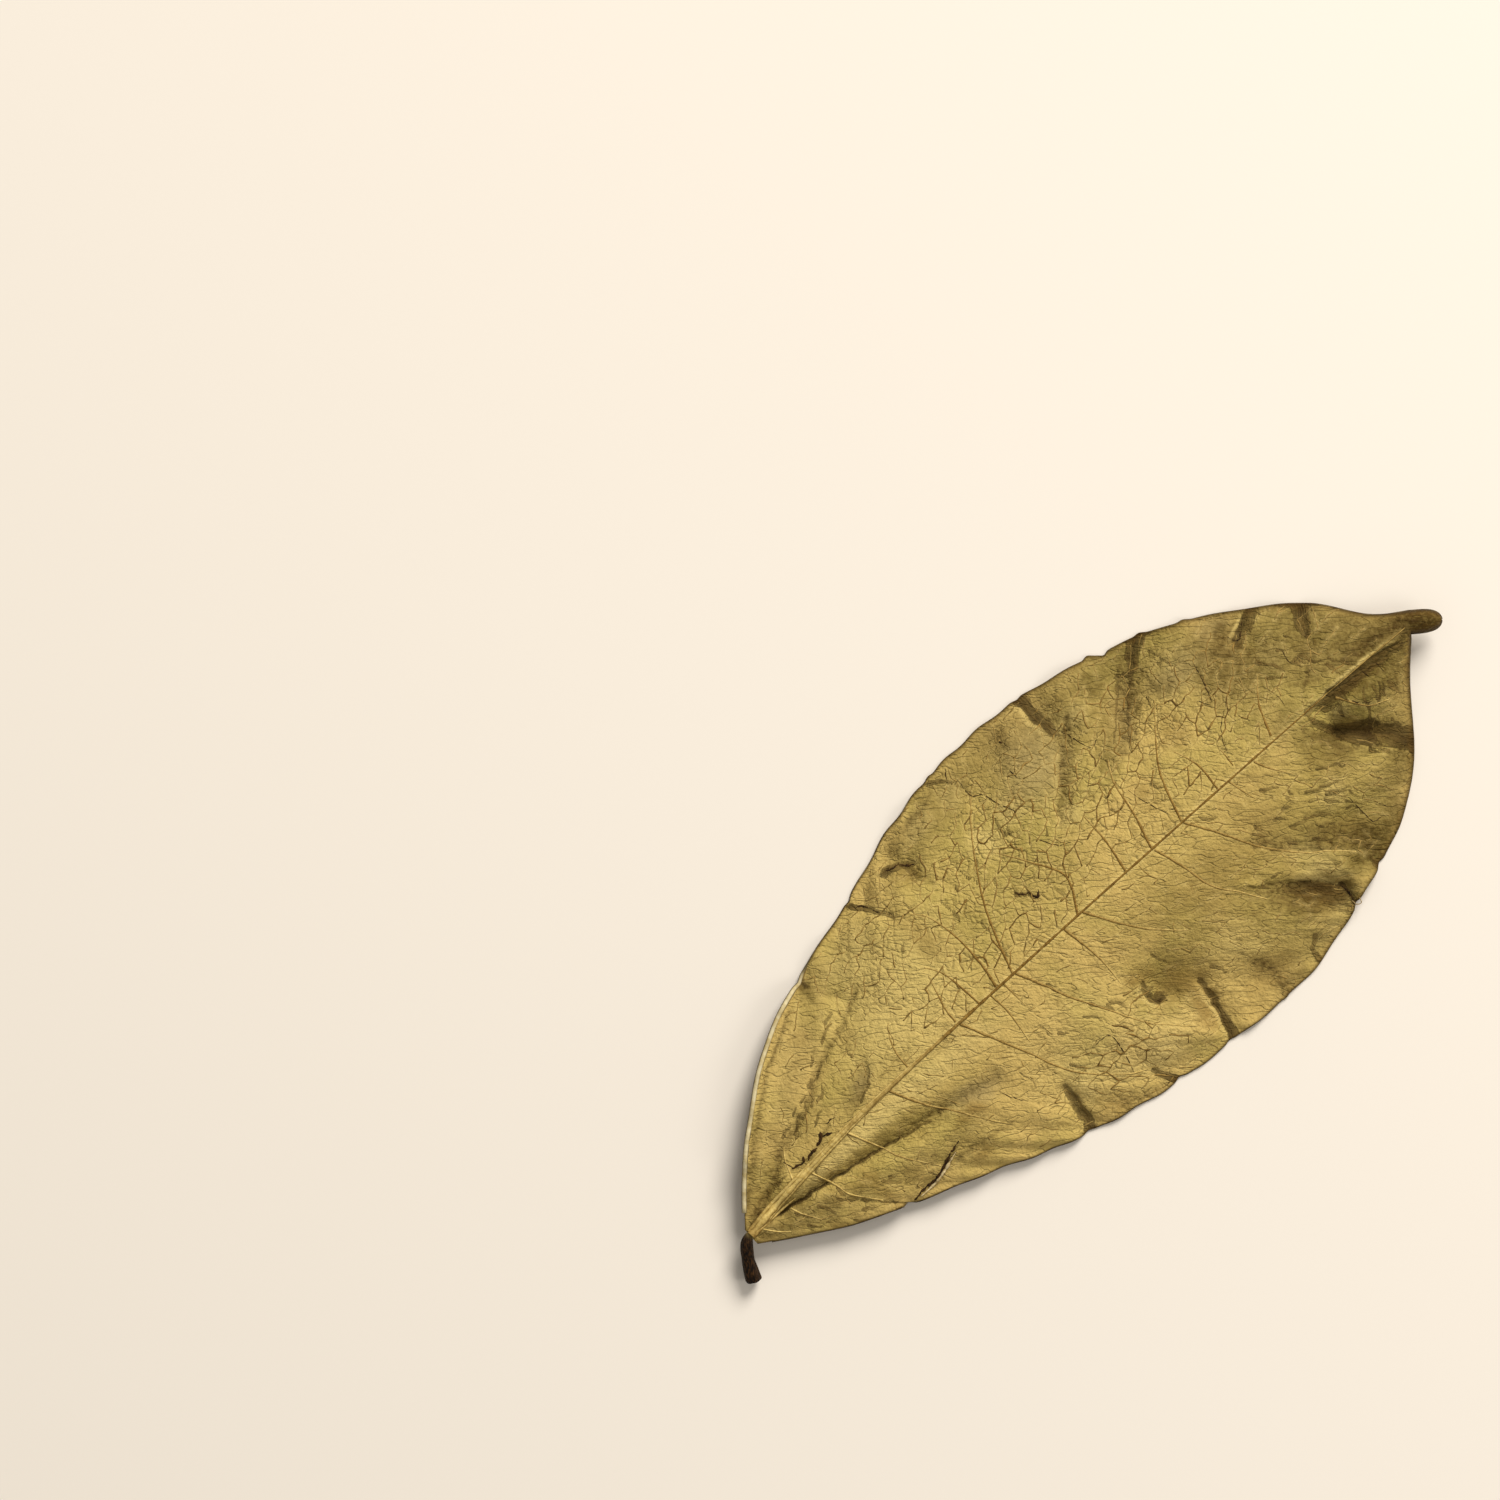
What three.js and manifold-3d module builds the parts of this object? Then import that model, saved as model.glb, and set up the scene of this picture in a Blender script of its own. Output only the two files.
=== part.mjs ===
// A dried leaf, lying with its underside up: a thin waved blade with a raised midrib, side veins
// and net, a rolled drip tip and a short woody stalk, all grown as one piece.
// Millimetres, +Z up. The leaf is drawn with the foot of its blade at (0, 0) and its tip towards
// +X, and is then moved so that its middle is over the origin. It lies on the ground, z = 0.

import * as THREE from 'three';
import { mergeGeometries, mergeVertices } from 'three/addons/utils/BufferGeometryUtils.js';
import Module from 'manifold-3d';

const MIDDLE = [67.5, 3.7]; // of the leaf's bounding box

// Blade
const BLADE_END = 134.5; // where the midrib runs into the drip tip
const BLADE_THICKNESS = 0.9;
const LOWER_SWEEP = 23; // how far the side veins run forward on their way to the margin
const UPPER_SWEEP = 19;
const SWEEP_POWER = 0.87; // below 1, the sweep is largest before the middle of the blade
const VEIN_BEND = [0.13, 0.55]; // shares of its run, along and across, where a vein bends most
const BUCKLE = 0.3; // waves of the whole blade
const MARGIN_WAVE = 0.25; // how far the margin wanders from its smooth line, sideways
const MARGIN_RIPPLE = 0.35; // and up and down
const MARGIN_WAVELENGTH = 8.5;

// Midrib, side veins and net, all standing out of the upward face
const RIB_HALF_WIDTH = 0.8;
const RIB_HEIGHT = 1.0;
const RIB_TAPER = 0.6; // share of its height that the midrib loses by the tip
const RIB_SHARE = 0.3; // the most of a narrow row that the midrib covers
const VEIN_HALF_WIDTH = 0.5;
const VEIN_HEIGHT = 0.45;
const VEIN_TAPER = 0.6;
const NET_HEIGHT = 0.28;

// Grid of the blade: rows follow the side veins, columns follow the margin
const ROW_GAP = 2.5;
const HALF_COLUMNS = 12;

// Drip tip, rolled to a small finger
const TIP_START = [136.0, 2.6];
const TIP_TURN = THREE.MathUtils.degToRad(-37);
const TIP_LENGTH = 4.9;
const TIP_HALF_WIDTH = 1.7;
const TIP_HALF_THICKNESS = 0.75; // what rolling adds above and below the blade
const TIP_ROWS = 6;
const TIP_HEIGHTS = { middleHeight: 3.7, upperHeight: 3.4, lowerHeight: 3.2, ribHeight: 0.2 };
const ROLL_START = 126; // where the blade begins to thicken towards the tip
const ROLL_AT_END = 0.5; // share of the roll that the blade has reached at its end

// Stalk
const STALK_START = [2.5, 0.9, 4.1]; // inside the midrib
const STALK_FOOT = [-0.6, 0.1, 3.3];
const STALK_BEND = [-2.5, -2.4, 2.2];
const STALK_END = [-4.1, -5.3, 1.25];
const STALK_RADIUS = 0.95;
const STALK_END_RADIUS = 1.2;
const STALK_CHAMFER = 0.35;
const STALK_SWELLING = [0.6, 0.95]; // shares of its length between which it thickens
const STALK_SIDES = 10;
const STALK_STEPS = 9;

// Outline, seen from above
const UPPER_MARGIN = [
  [0, 1.6], [5, 7.3], [10, 12], [20, 19.5], [30, 23.8], [45, 28.1], [57, 32], [70, 34], [84, 33.6],
  [96, 31], [108, 26.9], [118, 21.3], [127, 14.6], [132, 7.8], [136, 4.4],
];
const LOWER_MARGIN = [
  [0, -1.3], [5, -4.4], [13, -8.9], [22, -12.6], [33, -16.5], [45, -21], [60, -24.8], [74, -26.3],
  [90, -26.8], [104, -22.9], [116, -18.3], [124, -11.6], [130, -4.3], [135, 1.1],
];
const MIDRIB = [[0, 0.4], [10, 1.65], [25, 2.9], [60, 3.4], [105, 3.2], [125, 2.9], [134.5, 2.5]];

// Where the side veins leave the midrib
const UPPER_VEINS = [7.3, 13.3, 21.7, 37, 45, 50.5, 56, 70, 79, 84.5, 90, 99.7, 109, 120];
const LOWER_VEINS = [2, 7.3, 13.3, 21.7, 30.5, 45, 56, 70, 84.5, 90, 99.7, 109, 120];

// Heights of the downward face along the leaf: the blade arches from the midrib to the margins,
// which sink below the ground line where they are pressed flat against the surface
const MIDRIB_HEIGHT = [[0, 3.1], [12, 4.2], [35, 5.8], [70, 6.4], [105, 6.0], [122, 5.4], [134.5, 3.9]];
const UPPER_EDGE_HEIGHT = [
  [0, 2.9], [9, 3.6], [20, 3.1], [33, 1.2], [45, -1.0], [60, 0.6], [74, -1.8], [88, 1.2],
  [101, -1.0], [112, 0.8], [122, 1.0], [130, 2.2], [136, 3.4],
];
const LOWER_EDGE_HEIGHT = [
  [0, 2.7], [8, 2.6], [22, 2.3], [36, 1.3], [50, 0.6], [66, -1.9], [78, 0.8], [90, -1.9],
  [102, 1.4], [114, -1.5], [124, 0.6], [130, 1.8], [135, 3.0],
];
const ARCH_POWER = 1.7; // above 1, the blade drops most near its margins

// Folds, dents and creases: the line that each follows from its strongest end, how far it
// reaches to both sides, and its rise there, negative where the blade sinks
const FOLDS = [
  { along: [[6, -0.2], [27, -3.6], [43, -6.6]], reach: 2.2, rise: -1.9 }, // foot, below the midrib
  { along: [[14, -4.2], [30, -7.2], [39, -8.8]], reach: 2.2, rise: 0.8 },
  { along: [[6, 4], [18, 9], [36, 17]], reach: 2.1, rise: -1.2 }, // foot, above the midrib
  { along: [[13, 3.9], [21, 5.4], [30, 8]], reach: 1.8, rise: -0.7 },
  { along: [[7, 9.2], [15, 15.6], [26, 22.2]], reach: 1.5, rise: 1.1 }, // margin rolled up
  { along: [[22, -12.6], [27, -12], [33, -10.2]], reach: 1.5, rise: -0.9 }, // old tear
  { along: [[49, -22.5], [50.5, -15]], reach: 1.8, rise: -1.7 }, // pinches in the lower margin
  { along: [[63.5, -26], [62, -21]], reach: 1.7, rise: -1.0 },
  { along: [[74.5, -26.5], [76.5, -17]], reach: 1.9, rise: -2.2 },
  { along: [[71.5, -13.5], [76.5, -12.5]], reach: 3.8, rise: -2.4 }, // dent
  { along: [[101, -20.5], [94, -13]], reach: 3.6, rise: -2.8 }, // deep hollow and its far side
  { along: [[104, -22], [104, -12]], reach: 2.6, rise: 1.6 },
  { along: [[113.5, -17.5], [106, -10]], reach: 3.2, rise: -1.9 },
  { along: [[117, -2], [121, -6], [125.5, -10]], reach: 2.6, rise: -3.0 }, // valley near the tip
  { along: [[121, -0.5], [130, -2.5]], reach: 2.6, rise: 1.0 },
  { along: [[117, 1.3], [130, 1.3]], reach: 1.2, rise: -0.9 },
  { along: [[32, 25], [34.5, 17]], reach: 1.9, rise: -1.0 }, // folds of the upper margin
  { along: [[45.5, 28], [49, 20.5]], reach: 2.2, rise: -1.0 },
  { along: [[54, 29], [56, 22]], reach: 2.0, rise: -1.2 },
  { along: [[67, 34], [69, 27]], reach: 2.2, rise: -1.2 },
  { along: [[85, 34], [86, 25], [77, 16.5]], reach: 2.8, rise: -2.3 },
  { along: [[103, 30.5], [98, 22], [91, 16]], reach: 2.8, rise: -2.6 },
  { along: [[114, 24], [117, 15]], reach: 2.4, rise: -1.6 },
  { along: [[127, 17], [122, 12.5]], reach: 2.4, rise: -1.6 },
];
const FOLD_FADE = 0.6; // share of a fold's rise that is gone at its far end

// A smooth line through points chosen by hand, with slopes taken from their neighbours
function smoothLine(points) {
  const last = points.length - 1;
  const slopes = points.map((point, i) => {
    const before = points[Math.max(i - 1, 0)];
    const after = points[Math.min(i + 1, last)];
    return (after[1] - before[1]) / (after[0] - before[0]);
  });
  return (x) => {
    let i = 0;
    while (i < last - 1 && x > points[i + 1][0]) i += 1;
    const span = points[i + 1][0] - points[i][0];
    const t = THREE.MathUtils.clamp((x - points[i][0]) / span, 0, 1);
    const rise = points[i + 1][1] - points[i][1];
    const start = slopes[i] * span - rise;
    const end = rise - slopes[i + 1] * span;
    return points[i][1] + rise * t + t * (1 - t) * (start * (1 - t) + end * t);
  };
}

const upperMarginLine = smoothLine(UPPER_MARGIN);
const lowerMarginLine = smoothLine(LOWER_MARGIN);
const midribLine = smoothLine(MIDRIB);
const midribHeight = smoothLine(MIDRIB_HEIGHT);
const upperEdgeHeight = smoothLine(UPPER_EDGE_HEIGHT);
const lowerEdgeHeight = smoothLine(LOWER_EDGE_HEIGHT);

// A wave that comes and goes along the margin and dies out at both ends of the blade
function marginWave(x, shift) {
  const swing = Math.sin((2 * Math.PI * x) / MARGIN_WAVELENGTH + shift + 2 * Math.sin(x / 11 + shift));
  return swing * Math.sin(Math.PI * THREE.MathUtils.clamp(x / BLADE_END, 0, 1));
}

const upperMargin = (x) => upperMarginLine(x) + MARGIN_WAVE * marginWave(x, 0);
const lowerMargin = (x) => lowerMarginLine(x) + MARGIN_WAVE * marginWave(x, 2);

// How much one fold lifts or sinks the blade at a place
function foldRise({ along, reach, rise }, x, y) {
  const steps = along.length - 1;
  let nearest = Infinity;
  let share = 0;
  for (let i = 0; i < steps; i += 1) {
    const [ax, ay] = along[i];
    const [dx, dy] = [along[i + 1][0] - ax, along[i + 1][1] - ay];
    const t = THREE.MathUtils.clamp(((x - ax) * dx + (y - ay) * dy) / (dx * dx + dy * dy), 0, 1);
    const distance = Math.hypot(x - ax - t * dx, y - ay - t * dy);
    if (distance < nearest) {
      nearest = distance;
      share = (i + t) / steps;
    }
  }
  return rise * (1 - FOLD_FADE * share) * Math.exp(-((nearest / reach) ** 2));
}

// Height of the downward face of the blade, before it is pressed flat on the ground:
// out is 0 on the midrib and 1 on the margin
function relief(x, y, out, midHeight, edgeHeight) {
  const arch = THREE.MathUtils.lerp(midHeight, edgeHeight, out ** ARCH_POWER);
  const folds = FOLDS.reduce((sum, fold) => sum + foldRise(fold, x, y), 0);
  const buckle = BUCKLE * Math.sin(x / 3.1 + y / 4) * Math.sin(y / 3.7 - x / 11) * Math.sqrt(out);
  return arch + folds + buckle;
}

// Rows of the blade: three for each vein (foot, crest, foot) and even ones between them
function bladeRows() {
  const roots = [...new Set([...UPPER_VEINS, ...LOWER_VEINS])].sort((a, b) => a - b);
  const marks = [{ x: 0 }];
  for (const root of roots) {
    marks.push({ x: root - VEIN_HALF_WIDTH }, { x: root, vein: true }, { x: root + VEIN_HALF_WIDTH });
  }
  marks.push({ x: BLADE_END });

  const rows = [marks[0]];
  let band = 0;
  for (const mark of marks.slice(1)) {
    const from = rows[rows.length - 1].x;
    const parts = Math.max(1, Math.round((mark.x - from) / ROW_GAP));
    for (let i = 1; i < parts; i += 1) {
      const middle = parts > 2 && i === Math.floor(parts / 2);
      rows.push({ x: from + ((mark.x - from) * i) / parts, between: true, middle, band });
    }
    rows.push(mark);
    if (mark.vein) band += 1;
  }
  return rows.map((row) => ({ ...row, ...bladeRow(row.x) }));
}

// Where a row starts on the midrib and ends on both margins, with the heights there
function bladeRow(x) {
  const forward = Math.sin(Math.PI * (x / BLADE_END) ** SWEEP_POWER);
  const upperX = x + UPPER_SWEEP * forward;
  const lowerX = x + LOWER_SWEEP * forward;
  return {
    middlePoint: [x, midribLine(x)],
    upperPoint: [upperX, upperMargin(upperX)],
    lowerPoint: [lowerX, lowerMargin(lowerX)],
    middleHeight: midribHeight(x),
    upperHeight: upperEdgeHeight(upperX) + MARGIN_RIPPLE * marginWave(upperX, 1),
    lowerHeight: lowerEdgeHeight(lowerX) + MARGIN_RIPPLE * marginWave(lowerX, 3),
    bend: VEIN_BEND,
    roll: ROLL_AT_END * THREE.MathUtils.smoothstep(x, ROLL_START, BLADE_END),
    ribHeight: RIB_HEIGHT * (1 - (RIB_TAPER * x) / BLADE_END),
  };
}

// Rows across the drip tip, square to its own axis
function tipRows() {
  const [cos, sin] = [Math.cos(TIP_TURN), Math.sin(TIP_TURN)];
  return Array.from({ length: TIP_ROWS }, (_, i) => {
    const along = Math.sin((0.5 * Math.PI * i) / TIP_ROWS);
    const half = TIP_HALF_WIDTH * Math.sqrt(1 - along ** 4);
    const x = TIP_START[0] + TIP_LENGTH * along * cos;
    const y = TIP_START[1] + TIP_LENGTH * along * sin;
    return {
      middlePoint: [x, y],
      upperPoint: [x - half * sin, y + half * cos],
      lowerPoint: [x + half * sin, y - half * cos],
      bend: [0.5, 0.5],
      roll: half / TIP_HALF_WIDTH,
      ...TIP_HEIGHTS,
    };
  });
}

// Share of the way from the midrib to the margin: the first step is the foot of the midrib
function outward(row, column, end) {
  const step = Math.abs(column);
  if (step === 0) return 0;
  const width = Math.hypot(end[0] - row.middlePoint[0], end[1] - row.middlePoint[1]);
  const foot = Math.min(RIB_SHARE, RIB_HALF_WIDTH / width);
  return foot + ((1 - foot) * (step - 1)) / (HALF_COLUMNS - 1);
}

// Veins and net: how far the upward face stands out at a place of the grid
function ridge(row, column, out) {
  if (column === 0) return row.ribHeight;
  const veins = column > 0 ? UPPER_VEINS : LOWER_VEINS;
  if (row.vein && veins.includes(row.x)) return VEIN_HEIGHT * (1 - VEIN_TAPER * out);
  const meshed = row.between && Math.abs(column) > 1 && Math.abs(column) < HALF_COLUMNS;
  const crossing = (column + row.band) % 2 === 0;
  return meshed && (crossing || row.middle) ? NET_HEIGHT : 0;
}

// One point of the upward or downward face, with column 0 on the midrib and
// columns above 0 on the upper half
function bladePoint(row, column, upward) {
  const upper = column > 0;
  const start = row.middlePoint;
  const end = upper ? row.upperPoint : row.lowerPoint;
  const out = outward(row, column, end);
  const middle = [0, 1].map((axis) => start[axis] + (end[axis] - start[axis]) * row.bend[axis]);
  const path = new THREE.QuadraticBezierCurve(
    new THREE.Vector2(...start), new THREE.Vector2(...middle), new THREE.Vector2(...end),
  );
  const { x, y } = path.getPoint(out);
  const edgeHeight = upper ? row.upperHeight : row.lowerHeight;
  const roll = row.roll * TIP_HALF_THICKNESS * Math.sqrt(Math.max(0, 1 - out ** 2));
  const under = Math.max(0, relief(x, y, out, row.middleHeight, edgeHeight) - roll);
  const rise = BLADE_THICKNESS + 2 * roll + ridge(row, column, out);
  return [x, y, upward ? under + rise : under];
}

// A sheet whose grid points are put in place one by one
function mouldedSheet(columns, rows, place) {
  const sheet = new THREE.PlaneGeometry(1, 1, columns, rows);
  const { position } = sheet.attributes;
  for (let i = 0; i < position.count; i += 1) {
    position.setXYZ(i, ...place(i % (columns + 1), Math.floor(i / (columns + 1))));
  }
  sheet.deleteAttribute('normal');
  sheet.deleteAttribute('uv');
  return sheet;
}

// The blade: both faces split into triangles alike, and a strip round the margin
function bladeGeometry() {
  const rows = [...bladeRows(), ...tipRows()];
  const lastRow = rows.length - 1;
  const lines = 2 * HALF_COLUMNS;
  const faceOf = (upward) => mouldedSheet(
    lastRow, lines, (i, j) => bladePoint(rows[i], HALF_COLUMNS - j, upward),
  );
  const top = faceOf(true);
  const bottom = faceOf(false);
  const index = bottom.index.array;
  for (let i = 0; i < index.length; i += 3) {
    [index[i], index[i + 1]] = [index[i + 1], index[i]];
  }

  const around = [];
  for (let i = 0; i < lastRow; i += 1) around.push([i, -HALF_COLUMNS]);
  for (let j = 0; j < lines; j += 1) around.push([lastRow, j - HALF_COLUMNS]);
  for (let i = lastRow; i > 0; i -= 1) around.push([i, HALF_COLUMNS]);
  for (let j = lines; j >= 0; j -= 1) around.push([0, j - HALF_COLUMNS]);
  const rim = mouldedSheet(around.length - 1, 1, (i, j) => {
    const [row, column] = around[i];
    return bladePoint(rows[row], column, j === 0);
  });
  return mergeVertices(mergeGeometries([top, bottom, rim]), 1e-3);
}

// The stalk: a turned stem with a thicker cut end, bent along its own line
function stalkGeometry() {
  const line = new THREE.CatmullRomCurve3(
    [STALK_START, STALK_FOOT, STALK_BEND, STALK_END].map((point) => new THREE.Vector3(...point)),
  );
  const length = line.getLength();
  const profile = [new THREE.Vector2(0, 0)];
  for (let i = 0; i <= STALK_STEPS; i += 1) {
    const share = i / STALK_STEPS;
    const thicker = THREE.MathUtils.smoothstep(share, ...STALK_SWELLING);
    const radius = THREE.MathUtils.lerp(STALK_RADIUS, STALK_END_RADIUS, thicker);
    profile.push(new THREE.Vector2(radius, share * (length - STALK_CHAMFER)));
  }
  profile.push(new THREE.Vector2(STALK_END_RADIUS - STALK_CHAMFER, length));
  profile.push(new THREE.Vector2(0, length));

  const stem = new THREE.LatheGeometry(profile, STALK_SIDES);
  stem.deleteAttribute('normal');
  stem.deleteAttribute('uv');
  const { position } = stem.attributes;
  const upright = new THREE.Vector3(0, 0, 1);
  for (let i = 0; i < position.count; i += 1) {
    const share = THREE.MathUtils.clamp(position.getY(i) / length, 0, 1);
    const centre = line.getPointAt(share);
    const forward = line.getTangentAt(share);
    const side = new THREE.Vector3().crossVectors(forward, upright).normalize();
    const up = new THREE.Vector3().crossVectors(side, forward);
    centre.addScaledVector(side, position.getX(i)).addScaledVector(up, position.getZ(i));
    position.setXYZ(i, centre.x, centre.y, Math.max(0, centre.z));
  }
  return mergeVertices(stem, 1e-3);
}

const wasm = await Module();
wasm.setup();

function toSolid(geometry) {
  return new wasm.Manifold(new wasm.Mesh({
    numProp: 3,
    vertProperties: new Float32Array(geometry.attributes.position.array),
    triVerts: new Uint32Array(geometry.index.array),
  }));
}

function toGeometry(solid) {
  const { vertProperties, triVerts } = solid.getMesh();
  const geometry = new THREE.BufferGeometry();
  geometry.setAttribute('position', new THREE.BufferAttribute(vertProperties, 3));
  geometry.setIndex(new THREE.BufferAttribute(triVerts, 1));
  return geometry;
}

const leafGeometry = toGeometry(toSolid(bladeGeometry()).add(toSolid(stalkGeometry())));

leafGeometry.translate(-MIDDLE[0], -MIDDLE[1], 0);
leafGeometry.computeVertexNormals();

const leafMaterial = new THREE.MeshStandardMaterial({ color: 0xb39a5c, roughness: 0.75, metalness: 0 });
const leaf = new THREE.Mesh(leafGeometry, leafMaterial);
leaf.name = 'soursop_leaf';

const driedLeaf = new THREE.Group();
driedLeaf.add(leaf);

export default driedLeaf;
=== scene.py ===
# %% [markdown]
# # A dried soursop leaf
#
# The object is one leaf, picked, dried and laid down with its underside up: a thin crinkled blade,
# a raised midrib with side veins and a net between them, a rolled drip tip and a short dark stalk.
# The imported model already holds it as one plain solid. This lesson makes the finished leaf in the
# same place and frame, in metres, and hides the plain one.
#
# The whole leaf is drawn in millimetres in its own plan: the foot of the blade is at (0, 0) and the
# midrib runs along +X. A single function then moves a plan point into the part's frame.

import math
import random

import bmesh
import bpy
import numpy as np
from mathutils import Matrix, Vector, noise
from mathutils.bvhtree import BVHTree
from mathutils.kdtree import KDTree


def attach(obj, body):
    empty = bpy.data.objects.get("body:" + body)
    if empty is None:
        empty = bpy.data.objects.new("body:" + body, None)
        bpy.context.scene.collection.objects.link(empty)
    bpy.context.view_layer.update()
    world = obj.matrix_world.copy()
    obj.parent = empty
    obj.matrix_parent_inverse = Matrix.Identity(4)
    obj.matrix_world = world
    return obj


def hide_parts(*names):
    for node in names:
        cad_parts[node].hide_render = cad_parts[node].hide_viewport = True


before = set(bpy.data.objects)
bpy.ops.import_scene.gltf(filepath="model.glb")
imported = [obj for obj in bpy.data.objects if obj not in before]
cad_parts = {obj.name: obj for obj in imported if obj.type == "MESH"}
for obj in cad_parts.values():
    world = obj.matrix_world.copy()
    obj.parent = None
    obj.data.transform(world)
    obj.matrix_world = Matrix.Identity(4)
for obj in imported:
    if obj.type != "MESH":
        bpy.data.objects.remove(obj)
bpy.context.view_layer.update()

MM = 0.001
MIDDLE = (67.5, 3.7)  # the middle of the leaf in its plan, which lies over the part's origin


def to_part(x, y, z):
    """Plan millimetres to metres in the part's frame, for numbers or whole arrays."""
    return (x - MIDDLE[0]) * MM, (y - MIDDLE[1]) * MM, z * MM


# %% [markdown]
# ## Smooth lines
#
# The outline and the heights of the leaf are smooth lines through a few points. A cubic between
# each two points, with slopes from their neighbours, passes through every point and takes only
# those numbers. It works on whole arrays, because the blade has many vertices.

# %% Smooth lines through points


def smooth_line(*points):
    """A function that gives the y of a smooth line through the points, for any x."""
    xs, ys = np.array(points, float).T
    before = np.maximum(np.arange(len(xs)) - 1, 0)
    after = np.minimum(np.arange(len(xs)) + 1, len(xs) - 1)
    slopes = (ys[after] - ys[before]) / (xs[after] - xs[before])

    def line(x):
        i = np.clip(np.searchsorted(xs, x, side="right") - 1, 0, len(xs) - 2)
        span = xs[i + 1] - xs[i]
        t = np.clip((x - xs[i]) / span, 0, 1)
        rise = ys[i + 1] - ys[i]
        start = slopes[i] * span - rise
        end = rise - slopes[i + 1] * span
        return ys[i] + rise * t + t * (1 - t) * (start * (1 - t) + end * t)

    return line


def smoothstep(x, low, high):
    """0 up to the low end, 1 from the high end, and a smooth rise between them."""
    t = np.clip((x - low) / (high - low), 0, 1)
    return t * t * (3 - 2 * t)


print("halfway up a smooth step:", float(smoothstep(0.5, 0, 1)))

# %% [markdown]
# The margins and the midrib were read off the real leaf, which is seen from straight above. The
# heights are judged from its shadows: the midrib arches over the table, and the margin waves up and
# down. Where the margin's height is below 0, the blade will be pressed flat on the table.

# %% Outline and heights of the leaf
midrib = smooth_line((0, 0.4), (10, 1.65), (25, 2.9), (60, 3.4), (105, 3.2), (125, 2.9), (134.5, 2.5))
upper_margin_line = smooth_line(
    (0, 1.6), (5, 7.3), (10, 12), (20, 19.5), (30, 23.8), (45, 28.1), (57, 32), (70, 34), (84, 33.6),
    (96, 31), (108, 26.9), (118, 21.3), (127, 14.6), (132, 7.8), (136, 4.4),
)
lower_margin_line = smooth_line(
    (0, -1.3), (5, -4.4), (13, -8.9), (22, -12.7), (33, -16.7), (45, -21.4), (60, -25.2), (74, -26.7),
    (90, -27.0), (104, -23.3), (116, -18.7), (124, -12.3), (130, -4.3), (135, 1.1),
)
midrib_height = smooth_line(
    (0, 3.1), (12, 4.2), (35, 5.8), (70, 6.4), (105, 6.0), (122, 5.4), (134.5, 3.9),
)
upper_edge_height = smooth_line(
    (0, 2.9), (9, 3.6), (20, 3.1), (33, 1.2), (45, -1.0), (60, 0.6), (74, -1.8), (88, 1.2),
    (101, -1.0), (112, 0.8), (122, 1.0), (130, 2.2), (136, 3.4),
)
lower_edge_height = smooth_line(
    (0, 2.7), (8, 2.6), (22, 2.3), (36, 1.3), (50, 0.6), (66, -0.9), (78, 0.6), (90, -1.9),
    (102, 1.4), (114, -1.5), (124, 0.6), (130, 1.8), (135, 3.0),
)
print("blade is", round(float(upper_margin_line(72) - lower_margin_line(90)), 1), "mm wide")

# %% [markdown]
# ## The margin
#
# A dried margin isn't a clean curve: it wanders, ripples up and down, and has a nick or a small
# peak wherever a fold runs out into it. Waves make the wander, and each nick is one named dip.

# %% Margins with their waves and nicks
BLADE_END = 134.5
MARGIN_WAVE = 0.16  # sideways
MARGIN_RIPPLE = 0.25  # up and down
MARGIN_WAVELENGTH = 8.5
MARGIN_DRIFT = (2, 11)  # makes the waves uneven: how much, and over which length
NICK_WIDTH = 0.7
UPPER_NICKS = (  # where along the leaf, and how deep; below 0 it is a peak
    (31, 0.3), (45, 0.3), (66.5, -0.3), (84.3, 0.25), (96.6, -0.5), (98.6, 0.5), (104.8, -0.3),
    (111, -0.3),
)
LOWER_NICKS = (
    (21.2, 0.6), (48.7, 0.25), (64.4, 0.35), (73.8, 0.2), (84.5, -0.2), (101.9, 0.4), (108.6, 0.4),
)


def margin_wave(x, shift):
    """A wave between -1 and 1 along a margin, which dies out at both ends of the blade."""
    drift = MARGIN_DRIFT[0] * np.sin(x / MARGIN_DRIFT[1] + shift)
    swing = np.sin(2 * math.pi * x / MARGIN_WAVELENGTH + shift + drift)
    return swing * np.sin(math.pi * np.clip(x / BLADE_END, 0, 1))


def nicks(x, dips):
    return sum(deep * np.exp(-(((x - at) / NICK_WIDTH) ** 2)) for at, deep in dips)


def upper_margin(x):
    return upper_margin_line(x) + MARGIN_WAVE * margin_wave(x, 0) - nicks(x, UPPER_NICKS)


def lower_margin(x):
    return lower_margin_line(x) + MARGIN_WAVE * margin_wave(x, 2) + nicks(x, LOWER_NICKS)


print(len(UPPER_NICKS) + len(LOWER_NICKS), "nicks and peaks along the margin")

# %% [markdown]
# ## Rows of the blade
#
# The blade is a grid whose rows leave the midrib and sweep forward to the margin, as the side veins
# do, so creases and veins lie along the grid and stay crisp. Near its end the rows turn square to
# the drip tip, which is a short finger rolled out of the blade. Every row keeps where it starts,
# where it ends on both margins, how high it is there, how far it bends and how much it is rolled.

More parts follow.
